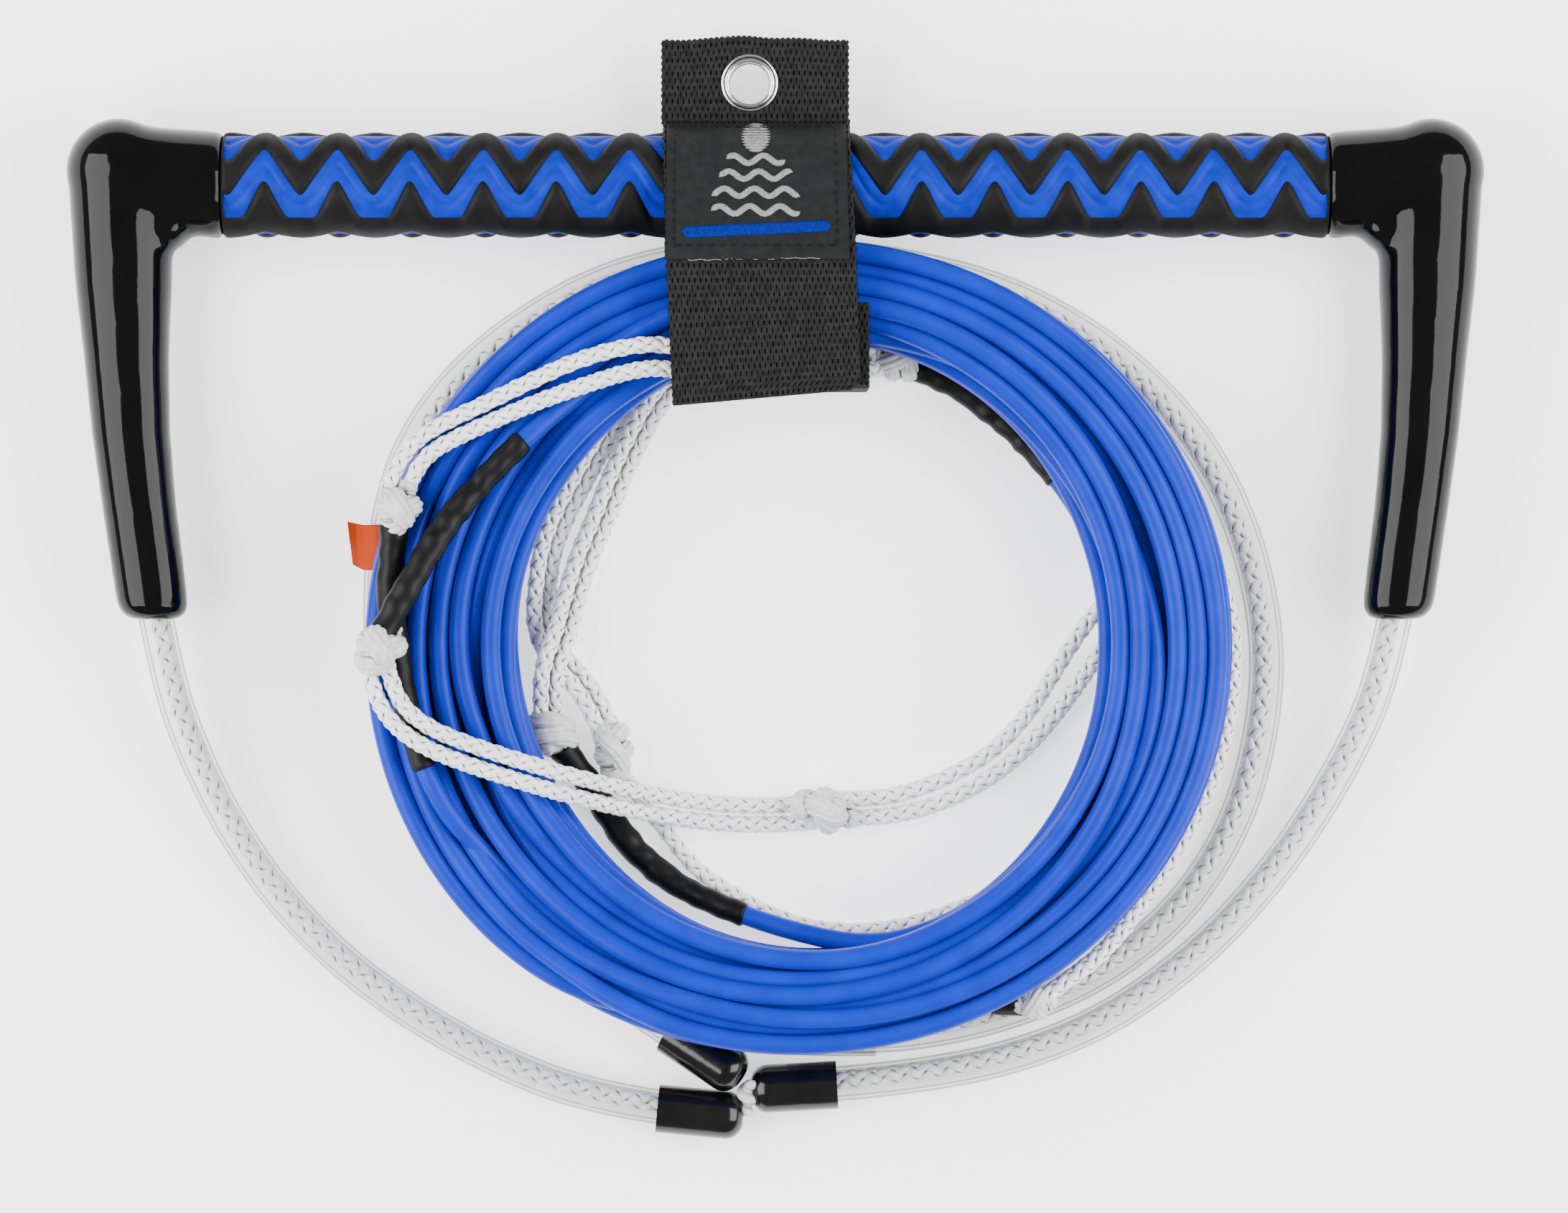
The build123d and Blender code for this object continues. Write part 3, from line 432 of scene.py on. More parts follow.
def tube(line, radii, sides=16, closed=True):
    """A skin round a line. Radii are one number, one per point, or one per point and side."""
    normal, binormal = frames(line)
    turn = round_angles(sides)
    radii = np.asarray(radii, float).reshape(-1, 1) if np.ndim(radii) < 2 else radii
    radii = np.broadcast_to(radii, (len(line), sides))
    spoke = (np.cos(turn)[None, :, None] * normal[:, None] + np.sin(turn)[None, :, None] * binormal[:, None])
    points = line[:, None] + radii[..., None] * spoke
    faces = grid(len(line), sides) + (lids(len(line), sides) if closed else [])
    return points.reshape(-1, 3), faces


def pipe(line, outer, inner, sides=28):
    """A hollow tube with a wall, open at both ends."""
    outside, faces = tube(line, outer, sides, closed=False)
    inside, inner_faces = tube(line, inner, sides, closed=False)
    start, last = len(outside), (len(line) - 1) * sides
    faces = faces + [[index + start for index in face][::-1] for face in inner_faces]
    for side in range(sides):
        beside = (side + 1) % sides
        faces.append([beside, side, start + side, start + beside])
        faces.append([last + side, last + beside, start + last + beside, start + last + side])
    return np.vstack([outside, inside]), faces


# ---- cords ----------------------------------------------------------------------------------------
def nurbs(name, points):
    """A smooth line with the route's points as its control points."""
    curve = bpy.data.curves.new(name, "CURVE")
    curve.dimensions = "3D"
    curve.resolution_u = 6
    spline = curve.splines.new("NURBS")
    spline.points.add(len(points) - 1)
    for control, point in zip(spline.points, points):
        control.co = (*point, 1.0)
    spline.order_u = 3
    spline.use_endpoint_u = True
    return bpy.data.objects.new(name, curve)


def read_line(points):
    """The points of the route's smooth line."""
    route = nurbs("route", points)
    mesh = bpy.data.meshes.new_from_object(route)
    line = np.array([vertex.co for vertex in mesh.vertices], float)
    bpy.data.meshes.remove(mesh)
    bpy.data.curves.remove(route.data)
    return line


def both_strands(middle):
    """Out along one side of a doubled rope and back along the other."""
    out, back = [], []
    for index, (x, y, z, side, rise) in enumerate(middle):
        x0, y0 = middle[max(index - 1, 0)][:2]
        x1, y1 = middle[min(index + 1, len(middle) - 1)][:2]
        length = np.hypot(x1 - x0, y1 - y0)
        left_x, left_y = -(y1 - y0) / length, (x1 - x0) / length
        out.append((x + side * left_x, y + side * left_y, z + rise))
        back.append((x - side * left_x, y - side * left_y, z - rise))
    return out + back[::-1]


STRAND_STEP = 0.00065        # between the points along a plaited strand
STRAND_SIDES = 6
STRAND_LAY = 4.2             # of the rope's diameters in one turn of a strand


def plait(line, diameter, step=STRAND_STEP):
    """Eight flat strands round a core, four each way, each going over one and under the next."""
    line = even(line, step)
    normal, binormal = frames(line)
    along = lengths(line)
    turn = STRAND_LAY * diameter
    crest, thick, wide = 0.07 * diameter, 0.125 * diameter, 0.225 * diameter
    middle = diameter / 2 - thick - crest
    ring = round_angles(STRAND_SIDES)
    parts = [tube(line[::3], middle * 0.9, 8)]
    for way in (1, -1):
        for strand in range(4):
            angle = way * 2 * pi * along / turn + strand * pi / 2
            lift = middle + way * crest * np.cos(8 * pi * along / turn)
            radial = np.cos(angle)[:, None] * normal + np.sin(angle)[:, None] * binormal
            centre = line + lift[:, None] * radial
            across = unit(np.cross(radial, np.gradient(centre, axis=0)))
            points = (centre[:, None] + wide * np.cos(ring)[None, :, None] * across[:, None]
                      + thick * np.sin(ring)[None, :, None] * radial[:, None])
            parts.append((points.reshape(-1, 3), grid(len(line), STRAND_SIDES)))
    return parts


def white_cord(name, points, diameter, nodes, step=STRAND_STEP, line=None):
    """A plaited rope along its route."""
    line = read_line(points) if line is None else line
    piece = build(name, plait(line, diameter, step), "white")
    belong(piece, "rope_white", *nodes)


def towards_bend(line, distance):
    """The line moved towards the inner side of its bends in plan, as a rope lies in a wider tube."""
    tangent = unit(np.gradient(line, axis=0))
    bend = np.gradient(tangent, axis=0)
    bend[:, 2] = 0
    for _ in range(12):
        bend[1:-1] = (bend[:-2] + bend[1:-1] + bend[2:]) / 3
    return line + distance * unit(bend)


ROPE_ASIDE = 0.0008          # how far a rope lies from the middle of its clear tube, towards the bend


def clear_tube(stem, side, points):
    """A clear tube and the rope inside it."""
    line = read_line(points)
    skin = pipe(even(line, 0.003), TUBE_OUTER / 2, TUBE_INNER / 2)
    piece = build(f"{stem}_tube{side}_clear", [skin], "clear")
    belong(piece, "clear_tube", f"{stem}_tube{side}")
    inner = towards_bend(line, ROPE_ASIDE)
    white_cord(f"{stem}_plait{side}", points, BRIDLE_ROPE, [f"{stem}_rope{side}"], line=inner)


# ---- the coil -------------------------------------------------------------------------------------
COIL_MIDDLE = np.array((0.0077, -0.0852))
COIL_OUTER = (np.array((0.0052, -0.0854)), np.array((0.1190, 0.1091)))
COIL_INNER = (np.array((0.0102, -0.0850)), np.array((0.0764, 0.0816)))
COIL_BOTTOM = 0.0115
BLUE_RADIUS = 0.00268        # of the sheath as it is drawn
BLUE_ROOM = 0.00275          # from a turn's middle to the edge of the coil's room in height
CROWN_X = (-0.125, -0.095, -0.060, -0.025, 0.005, 0.040, 0.080, 0.130)
CROWN_Z = (0.0262, 0.0270, 0.0305, 0.0362, 0.0380, 0.0375, 0.0345, 0.0315)
STATIONS = 40                # to a turn
APART = 0.00535              # between the middles of turns that touch
TRUNK_CAP_AT = 254           # where the coil passes over the trunk's cap, in degrees


def reach(angle, ellipse):
    """How far an ellipse lies from the coil's middle, in a direction."""
    centre, radii = ellipse
    step = np.stack([np.cos(angle), np.sin(angle)], axis=-1) / radii
    start = (COIL_MIDDLE - centre) / radii
    square, cross = (step ** 2).sum(-1), (step * start).sum(-1)
    return (-cross + np.sqrt(cross ** 2 - square * (start @ start - 1))) / square


def polar(point):
    """A point's distance from the coil's middle, and its direction in degrees."""
    x, y = np.array(point[:2]) - COIL_MIDDLE
    return np.hypot(x, y), degrees(atan2(y, x)) % 360


def winding(lead_in, lead_out, turns, plan):
    """The stations of one rope in the coil, between its two leads."""
    start, end = polar(lead_in[-1]), polar(lead_out[-1])
    finish = end[1] + 360 * turns
    first, last = int(start[1] / 360 * STATIONS) + 2, int(finish / 360 * STATIONS) - 1
    index = np.arange(first, last + 1)
    share = (index - first) / (last - first)
    across, height = plan(share)
    ends = ((start[0], lead_in[-1][2]), (end[0], lead_out[-1][2]))
    return {"index": index, "across": across, "height": height, "ends": ends}


def rows(share):
    """Four layers, wound in and out."""
    turns = np.array((0, 1.0, 5.4, 9.2, 10.3, 14.2, 17.3, 18.2)) / 18.2
    across = np.interp(share, turns, (1.03, 1.03, 0.06, 1.02, 1.02, 0.08, 1.04, 1.04))
    return across, np.interp(share, (0.02, 0.31, 0.56, 0.79), (0.0, 0.34, 0.68, 1.0))


ROUNDS = 700
HOMING, SMOOTHING, PUSHING = 0.03, 0.6, 0.42
SINKING = 0.00004            # in each round
CAP_ROOM = 0.0032            # by which the outer turns rise over the trunk's cap


def settle(strands):
    """Let the turns push each other apart, sink and lie smoothly, within the room that the coil has."""
    index = np.concatenate([strand["index"] for strand in strands])
    angle = index * 2 * pi / STATIONS
    inner, outer = reach(angle, COIL_INNER) + 0.0027, reach(angle, COIL_OUTER) - 0.0027
    across = np.concatenate([strand["across"] for strand in strands])
    height = np.concatenate([strand["height"] for strand in strands])
    bounds = np.cumsum([0] + [len(strand["index"]) for strand in strands])
    wander = [np.convolve(chance.normal(0, 1, len(index) + 24), np.hanning(25) / 3.5, "same")[12:-12]
              for _ in range(2)]
    floor = np.full(len(index), COIL_BOTTOM + BLUE_ROOM)
    over_cap = np.abs(np.mod(np.degrees(angle) % 360 - TRUNK_CAP_AT + 180, 360) - 180) < 14
    spread = inner + across * (outer - inner) + 0.0018 * wander[0]
    ceiling_of = lambda r: np.interp(COIL_MIDDLE[0] + r * np.cos(angle), CROWN_X, CROWN_Z) - BLUE_ROOM
    lift = floor + height * (ceiling_of(spread) - floor) + 0.0010 * wander[1]
    state = np.stack([spread, lift], axis=1)
    home = state.copy()
    members = [np.flatnonzero(index % STATIONS == station) for station in range(STATIONS)]
    most = max(len(group) for group in members)
    table = np.array([list(group) + [-1] * (most - len(group)) for group in members])
    real = table >= 0
    both = real[:, :, None] & real[:, None, :] & ~np.eye(most, dtype=bool)[None]
    middle = np.stack([(inner + outer) / 2, 0 * inner], axis=1)
    for turn in range(ROUNDS):
        state += HOMING * (1 - turn / ROUNDS) * (home - state)
        state[:, 1] -= SINKING
        for first, last, strand in zip(bounds, bounds[1:], strands):
            chain = np.vstack([strand["ends"][0] - middle[first], state[first:last] - middle[first:last],
                               strand["ends"][1] - middle[last - 1]])
            state[first:last] += SMOOTHING * ((chain[:-2] + chain[2:]) / 2 - chain[1:-1])
        for _ in range(3):
            seats = state[np.where(real, table, 0)]
            gap = seats[:, :, None] - seats[:, None, :]
            distance = np.maximum(np.linalg.norm(gap, axis=-1), 1e-6)
            push = np.where(both, np.clip(APART - distance, 0, None) / distance, 0.0)
            moved = PUSHING * (push[..., None] * gap).sum(axis=2)
            state[table[real]] += np.clip(moved[real], -0.0015, 0.0015)
            lowest = floor + np.where(over_cap & (state[:, 0] > outer - 0.012), CAP_ROOM, 0.0)
            state[:, 0] = np.clip(state[:, 0], inner, outer)
            state[:, 1] = np.clip(state[:, 1], lowest, np.maximum(ceiling_of(state[:, 0]), lowest + 0.0005))
    places = np.stack([COIL_MIDDLE[0] + state[:, 0] * np.cos(angle),
                       COIL_MIDDLE[1] + state[:, 0] * np.sin(angle), state[:, 1]], axis=1)
    return [places[first:last].tolist() for first, last in zip(bounds, bounds[1:])]


def make_coil():
    """The three ropes of the coil, from knot to knot."""
    level = lambda low, high, height: lambda share: (low + (high - low) * share, np.full(len(share), height))
    ropes = (("rope_section_inner", LEAD_C, LEAD_D, 3, level(0.02, 0.05, 0.45), ("lead_c", "lead_d")),
             ("rope_section_top", LEAD_A, LEAD_B, 2, level(0.55, 0.35, 1.0), ("lead_a", "lead_b")),
             ("rope_section_main", LEAD_F, LEAD_E, 18, rows, ("lead_f", "lead_e")))
    strands = [winding(lead_in, lead_out, turns, plan) for _, lead_in, lead_out, turns, plan, _ in ropes]
    pieces = {}
    for (name, lead_in, lead_out, _, _, nodes), middle in zip(ropes, settle(strands)):
        points = list(lead_in) + middle + list(lead_out[::-1])
        piece = nurbs(name, points)
        piece.data.bevel_depth = BLUE_RADIUS
        piece.data.bevel_resolution = 5
        piece.data.resolution_u = 5
        piece.data.materials.append(finishes["blue"].material)
        bpy.context.scene.collection.objects.link(piece)
        belong(piece, "rope_blue", *nodes, "mainline_coil")
        pieces[name] = (piece, read_line(points), lead_in[0])
    return pieces


# ---- knots and sleeves ----------------------------------------------------------------------------
# centre, axis, length, width, turns, first angle, lean, swing of the pass over the turns, rope's thickness
KNOTS = {
    "knot_a": ((-0.1001, -0.0486, 0.0322), (-0.12, 1, 0), 0.0156, 0.0128, 2.0, 0.9, 0.001, 0.8, 0.0062),
    "knot_b": ((-0.1048, -0.0856, 0.0392), (0.2, 1, 0), 0.015, 0.0142, 2.0, 0.2, 0.0016, 1.4, 0.0064),
    "knot_c": ((-0.0598, -0.109, 0.0066), (-0.3, 1, 0), 0.015, 0.0132, 2.6, 1.4, -0.0014, 0, 0.0056),
    "knot_d": ((0.0326, -0.0084, 0.0062), (1, -0.1, 0), 0.0166, 0.012, 2.6, 0.5, 0.0012, 1.0, 0.0056),
    "knot_e": ((0.0694, -0.1809, 0.0147), (0.85, 0.5, 0), 0.012, 0.0108, 2.0, 1.0, 0.0008, 0.8, 0.0052),
    "knot_f": ((-0.0898, -0.0618, 0.0056), (0.1, 1, 0), 0.0136, 0.0112, 2.2, 0.3, 0.001, 0, 0.0054),
    "stopper_knot": ((0.0131, -0.1296, 0.0067), (1, 0.05, 0), 0.0166, 0.0134, 2.0, 0.8, 0.0022, -1.5, 0.0058),
    "pigtail_knot": ((-0.0436, -0.1132, 0.006), (-0.25, 1, 0), 0.0188, 0.0114, 2.8, 0.1, 0.0016, 1.2, 0.0052),
    "y_splice": ((-0.0074, -0.2064, 0.0084), (0.1, 1, 0.35), 0.012, 0.0064, 2.4, 0.0, 0.0004, 0, 0.0026)}


def about(centre, along, forward, radius, angle):
    """Points round an axis, by how far they are along it, how far from it, and at what angle."""
    axis = unit(np.array(along, float))
    side = unit(np.cross(axis, UP))
    rise = np.cross(side, axis)
    return (np.array(centre) + forward[:, None] * axis + (radius * np.cos(angle))[:, None] * side
            + (radius * np.sin(angle))[:, None] * rise)


YARN_SIDES, YARN_STRANDS = 80, 9
GROOVE_DEPTH = 0.13          # as a share of the yarn's radius


def yarn(line, diameter):
    """A pressed rope with its strands running slantwise along it."""
    line = even(line, 0.00025)
    along = lengths(line)[:, None]
    turn = round_angles(YARN_SIDES)[None]
    groove = np.abs(np.cos(YARN_STRANDS / 2 * turn + along * 560 + 0.5 * np.sin(along * 600))) ** 4
    ends = np.sqrt(np.clip(np.minimum(along, along[-1] - along) / (diameter * 0.35), 0.03, 1))
    return tube(line, diameter / 2 * ends * (1.02 - GROOVE_DEPTH * groove), YARN_SIDES)


def make_knot(node, centre, along, length, width, turns, start, lean, swing, rope):
    """A knot: rope wound round an axis with leaning turns, one more pass over them, and a core."""
    share = np.linspace(0, 1, int(110 * turns))
    angle = start + 2 * pi * turns * share
    radius = (width - rope) / 2 * np.sin(pi * np.clip(share, 0.03, 0.97)) ** 0.3
    forward = (share - 0.5) * (length - rope) + lean * np.cos(angle + 0.6)
    parts = [yarn(about(centre, along, forward, radius, angle), rope)]
    if swing:
        share = np.linspace(0, 1, 110)
        radius = (width / 2 - rope * 0.3) * np.sin(pi * np.clip(share, 0.02, 0.98)) ** 0.6
        forward = (share - 0.5) * (length - rope) * 0.95
        parts.append(yarn(about(centre, along, forward, radius, pi / 2 + swing * (share - 0.5)), rope))
    axis = unit(np.array(along, float))
    heart = np.array(centre) + np.linspace(-0.36, 0.36, 9)[:, None] * length * axis
    swell = np.array((0.5, 0.75, 0.9, 0.95, 0.95, 0.95, 0.9, 0.75, 0.5))
    parts.append(tube(heart, (width - rope) / 2 * swell, 20))
    piece = build(node + "_wound", parts, "knot")
    belong(piece, "rope_white", node)
    return piece


SLEEVE_SIDES = 36
LUMP_PITCH = 0.0104


def make_sleeve(node, line, from_start, length, seed):
    """Heat-shrunk tube: lumpy over the splice next to the knot, then slim over the plain rope."""
    line = line if from_start else line[::-1]
    path = even(start_of(line, length), 0.0005)
    along = lengths(path)[:, None]
    turn = round_angles(SLEEVE_SIDES)[None]
    thick = np.interp(along, (0, 0.04 * length, 0.6 * length, 0.72 * length, length),
                      (0.0039, 0.0037, 0.0037, 0.0033, 0.0033))
    fade = np.interp(along, (0, 0.003, 0.58 * length, 0.72 * length), (0.4, 1, 1, 0))
    phase = 2 * pi * along / LUMP_PITCH
    lumps = np.cos(phase + 2 * turn + seed) * np.cos(phase - 2 * turn + 2.1 * seed)
    crease = -0.0003 * np.exp(-((along - 0.74 * length) / 0.0012) ** 2) * np.cos(turn + seed)
    waver = 0.00012 * np.sin(along * 900 + seed + turn)
    lip = -0.0004 * np.exp(-((length - along) / 0.0004) ** 2)
    drift = np.sin(along * 240 + 3 * seed) * np.sin(turn + seed) + np.sin(along * 410 + seed)
    radii = thick + fade * (0.00013 * lumps + 0.00013 * drift) + crease + waver + lip
    piece = build(node + "_shrunk", [tube(path, radii, SLEEVE_SIDES)], "sleeve")
    belong(piece, "sleeve_black", node)
    return piece


def make_ropes():
    """Every cord of the tow rope, with its knots and sleeves."""
    coil = make_coil()
    knots = {node: make_knot(node, *shape) for node, shape in KNOTS.items()}
    ends = (("rope_section_top", ("a", 0.066), ("b", 0.065)),
            ("rope_section_inner", ("c", 0.069), ("d", 0.053)),
            ("rope_section_main", ("f", 0.055), ("e", 0.022)))
    for seed, (name, (first, first_length), (last, last_length)) in enumerate(ends):
        piece, line, start = coil[name]
        on_it = [make_sleeve(f"sleeve_{first}", line, True, first_length, 1.0 + seed),
                 make_sleeve(f"sleeve_{last}", line, False, last_length, 2.7 + seed),
                 knots[f"knot_{first}"], knots[f"knot_{last}"]]
    loops = {"loop_a": LOOP_A, "loop_b": LOOP_B, "loop_c": LOOP_C, "loop_d": LOOP_D, "loop_e": LOOP_E,
             "loop_f": LOOP_F, "pigtail_loop": PIGTAIL_LOOP}
    for node, middle in loops.items():
        white_cord(f"{node}_plait", both_strands(middle), WHITE_ROPE, [node])
    white_cord("pigtail_plait", PIGTAIL, WHITE_ROPE, ["pigtail_rope"], step=0.0008)
    clear_tube("bridle", "_left", BRIDLE_LEFT)
    clear_tube("bridle", "_right", BRIDLE_RIGHT)
    clear_tube("trunk", "", TRUNK)


# ---- grip and fittings ----------------------------------------------------------------------------
GRIP_HALF, GRIP_R, GRIP_FLOOR_R, PITCH = 0.148, 0.01425, 0.0131, 0.0195


def zigzag(low, high, foot, blur=0.0007):
    """A zigzag along the grip, rounded: high at the peaks, low between them with a flat foot."""
    x = np.linspace(-PITCH / 2, PITCH / 2, 391)[:-1]
    wave = np.interp(np.abs(x), (0.0005, PITCH / 2 - foot), (high, low))
    bell = np.exp(-(x / blur) ** 2 / 2)
    wave = np.real(np.fft.ifft(np.fft.fft(wave) * np.fft.fft(np.fft.ifftshift(bell / bell.sum()))))
    return lambda at: np.interp(np.mod(at + PITCH / 2, PITCH) - PITCH / 2, x, wave, period=PITCH)


def in_groove(x, turn):
    """How far inside a groove a point of the grip is, and how far from the groove's middle line."""
    top_upper, top_lower = zigzag(-0.0039, 0.0100, 0.0004), zigzag(-0.0100, 0.0008, 0.0040)
    side_upper, side_lower = zigzag(0.0050, 0.0112, 0.0004), zigzag(-0.0104, 0.0080, 0.0004, 0.0011)
    best, middle = np.full(x.shape, -1.0), np.zeros(x.shape)
    for half in (0.0, pi):
        from_top = np.mod(turn - half + pi, 2 * pi) - pi
        planar = GRIP_R * np.sin(from_top)
        facing = np.abs(from_top) < radians(75)
        upper, lower = top_upper(x), top_lower(x)
        inside = np.where(facing, np.minimum((upper - planar) * 0.58, (planar - lower) * 0.5), -1.0)
        middle = np.where(inside > best, planar - (upper + lower) / 2, middle)
        best = np.maximum(best, inside)
        arc = GRIP_R * (np.mod(turn - half - radians(64) + pi, 2 * pi) - pi)
        upper, lower = side_upper(x), side_lower(x)
        inside = np.where(np.abs(arc) < 0.02, np.minimum((upper - arc) * 0.75, (arc - lower) * 0.5), -1.0)
        middle = np.where(inside > best, arc - (upper + lower) / 2, middle)
        best = np.maximum(best, inside)
    return np.where(np.abs(x) > GRIP_HALF - 0.0005, -0.003, best), middle


def make_grip():
    """A black sleeve with zigzag grooves moulded over a blue one."""
    for finish, sides, name, node in (("grip_black", 184, "grip_lands", "grip_cover"),
                                      ("grip_blue", 200, "grip_floor", "grip_core")):
        line = even(np.array(((-GRIP_HALF, BAR_Y, BAR_Z), (GRIP_HALF, BAR_Y, BAR_Z))), 0.0005)
        turn = round_angles(sides)
        x, around = np.meshgrid(line[:, 0], turn, indexing="ij")
        # the rings start at -Y and turn up, so a quarter less is the angle from +Z towards +Y
        inside, middle = in_groove(x, around - pi / 2)
        if finish == "grip_black":
            shoulder = 0.0010 * (1 - np.clip(-inside / 0.0019, 0, 1)) ** 2
            radii = GRIP_R - shoulder - np.clip(inside / 0.0011, 0, 1) * 0.0019
            radii -= 0.0010 * np.clip((np.abs(x) - GRIP_HALF + 0.0012) / 0.0012, 0, 1) ** 2
        else:
            valley = np.clip(np.abs(middle) / 0.0024, 0, 1)
            ridge = np.exp(-((np.abs(middle) - 0.0013) / 0.0003) ** 2)
            radii = GRIP_FLOOR_R + (0.00055 * valley + 0.00012 * ridge - 0.00045) * (inside > 0)
        spoke = np.stack([0 * turn, -np.cos(turn), np.sin(turn)], axis=1)
        points = line[:, None] + radii[..., None] * spoke
        faces = [face[::-1] for face in grid(len(line), sides) + lids(len(line), sides)]
        belong(build(name, [(points.reshape(-1, 3), faces)], finish), finish, node)


LEG = ((0.05, 0.175, 0.0205, 0.0205), (0.043, 0.1757, 0.0268, 0.0268), (0.036, 0.1756, 0.028, 0.0276),
       (0.012, 0.1749, 0.0262, 0.0256), (-0.008, 0.1741, 0.0231, 0.023), (-0.028, 0.1729, 0.0213, 0.0212),
       (-0.047, 0.1708, 0.0202, 0.0202), (-0.066, 0.1682, 0.0197, 0.0194),
       (-0.0745, 0.1671, 0.0193, 0.019), (-0.077, 0.1667, 0.017, 0.0168),
       (-0.0782, 0.1665, 0.0125, 0.0124))
ARM = ((0.1762, 0.0412, 0.0278), (0.162, 0.0396, 0.028), (0.153, 0.0386, 0.0288), (0.149, 0.0383, 0.029),
       (0.1476, 0.0383, 0.0272))


RING = 48                    # points round each lump of a fitting
BALL = (0.1762, 0.0422, 0.0142, 0.0142)
BLOB = (0.1625, 0.0265, 0.0105, 0.0105 * 0.55)
SKIN_VOXEL, SKIN_ROUNDS = 0.001, 22


def lump(x, y, z):
    """A closed shape from rings of points."""
    points = np.stack(np.broadcast_arrays(x, y, z), axis=-1)
    return points.reshape(-1, 3), grid(len(points), RING) + lids(len(points), RING)


def make_fitting(side, name, node):
    """A dipped corner piece: leg, arm and ball drawn into one skin, and smoothed."""
    turn = round_angles(RING)
    leg, arm = np.array(LEG), np.array(ARM)
    at = np.linspace(leg[0, 0], leg[-1, 0], 130)
    middle, width, height = (np.interp(-at, -leg[:, 0], leg[:, column])[:, None] for column in (1, 2, 3))
    parts = [lump(middle + width / 2 * np.cos(turn), at[:, None], BAR_Z + height / 2 * np.sin(turn))]
    at = np.linspace(arm[0, 0], arm[-1, 0], 40)
    middle, width = (np.interp(-at, -arm[:, 0], arm[:, column])[:, None] for column in (1, 2))
    parts.append(lump(at[:, None], middle + width / 2 * np.sin(turn), BAR_Z + width / 2 * np.cos(turn)))
    level = np.linspace(-1, 1, 40)[:, None] * 0.999
    for x, y, tall, wide in (BALL, BLOB):
        ring = wide * np.sqrt(1 - level ** 2)
        parts.append(lump(x + ring * np.cos(turn), y + ring * np.sin(turn), BAR_Z + tall * level))
    parts = [(part * np.array((side, 1, 1)), [face[::-1] for face in faces] if side < 0 else faces)
             for part, faces in parts]
    rough = build(name + "_rough", parts, "fitting")
    remesh = rough.modifiers.new("skin", "REMESH")
    remesh.mode, remesh.voxel_size, remesh.use_smooth_shade = "VOXEL", SKIN_VOXEL, True
    relax = rough.modifiers.new("relax", "SMOOTH")
    relax.factor, relax.iterations = 0.5, SKIN_ROUNDS
    bpy.context.view_layer.update()
    evaluated = rough.evaluated_get(bpy.context.evaluated_depsgraph_get())
    mesh = bpy.data.meshes.new_from_object(evaluated)
    bpy.data.objects.remove(rough)
    mesh.materials.clear()
    mesh.materials.append(finishes["fitting"].material)
    mesh.polygons.foreach_set("use_smooth", [True] * len(mesh.polygons))
    piece = bpy.data.objects.new(name, mesh)
    bpy.context.scene.collection.objects.link(piece)
    belong(piece, "fitting_black", node)


# ---- keeper strap ---------------------------------------------------------------------------------
STRAP_R = 0.01515            # middle of the webbing round the grip
WEBBING = 0.0016
HINGE = (0.0168, 0.0443)     # Y and Z of the flap's bend
LEAVE = radians(57)


def round_grip(angle):
    """Y and Z of the webbing's middle round the grip."""
    return (BAR_Y + STRAP_R * cos(angle), BAR_Z + STRAP_R * sin(angle))


class Run:
    """A line in Y and Z that webbing follows, with its outward side on the left of its way."""

    def __init__(self, points, step=0.00036, soften=0):
        line = even(flat_line(points), step)
        for _ in range(soften):
            line[1:-1] = (line[:-2] + 2 * line[1:-1] + line[2:]) / 4
        self.line = line
        self.along = lengths(line)
        self.length = self.along[-1]
        tangent = unit(np.gradient(line, axis=0))
        self.normal = np.stack([0 * tangent[:, 0], tangent[:, 2], -tangent[:, 1]], axis=1)

    def at(self, along):
        return look_up(self.line, self.along, along)

    def out(self, along):
        return unit(look_up(self.normal, self.along, along))

    def place(self, x, along, lift):
        """A point beside the line, lifted from it."""
        spot = self.at(along) + np.asarray(lift)[..., None] * self.out(along)
        spot[..., 0] = x
        return spot


STRAP_WIDE = 0.05
COLUMNS = 34                 # of slots across the webbing
ROW, COLUMN = 0.0020, STRAP_WIDE / COLUMNS
WEAVE_CELLS = COLUMNS * 7 + 1


def slots(across, along):
    """How far a point is inside a hole of the weave: upright slots, each row half a column further on."""
    shift = np.floor(along / ROW) % 2 / 2
    beside = np.abs(np.sin(pi * (across / COLUMN + shift)))
    down = np.abs(np.sin(pi * along / ROW))
    return np.clip(1.9 - 3.4 * beside, 0, 1) * np.clip(2.4 * down - 0.8, 0, 1)


def woven(across, along):
    """The height of basket-woven webbing."""
    down = np.minimum(1.4 * np.abs(np.sin(pi * along / ROW)), 1)
    return 0.00006 + 0.00016 * down - 0.00036 * slots(across, along)


def cloth(rows_count):
    """How far along and across a strip its points lie, as shares."""
    return np.meshgrid(np.linspace(0, 1, rows_count), np.linspace(0, 1, WEAVE_CELLS), indexing="ij")


def always(x):
    """An edge at the same X all along."""
    return lambda along: 0 * along + x


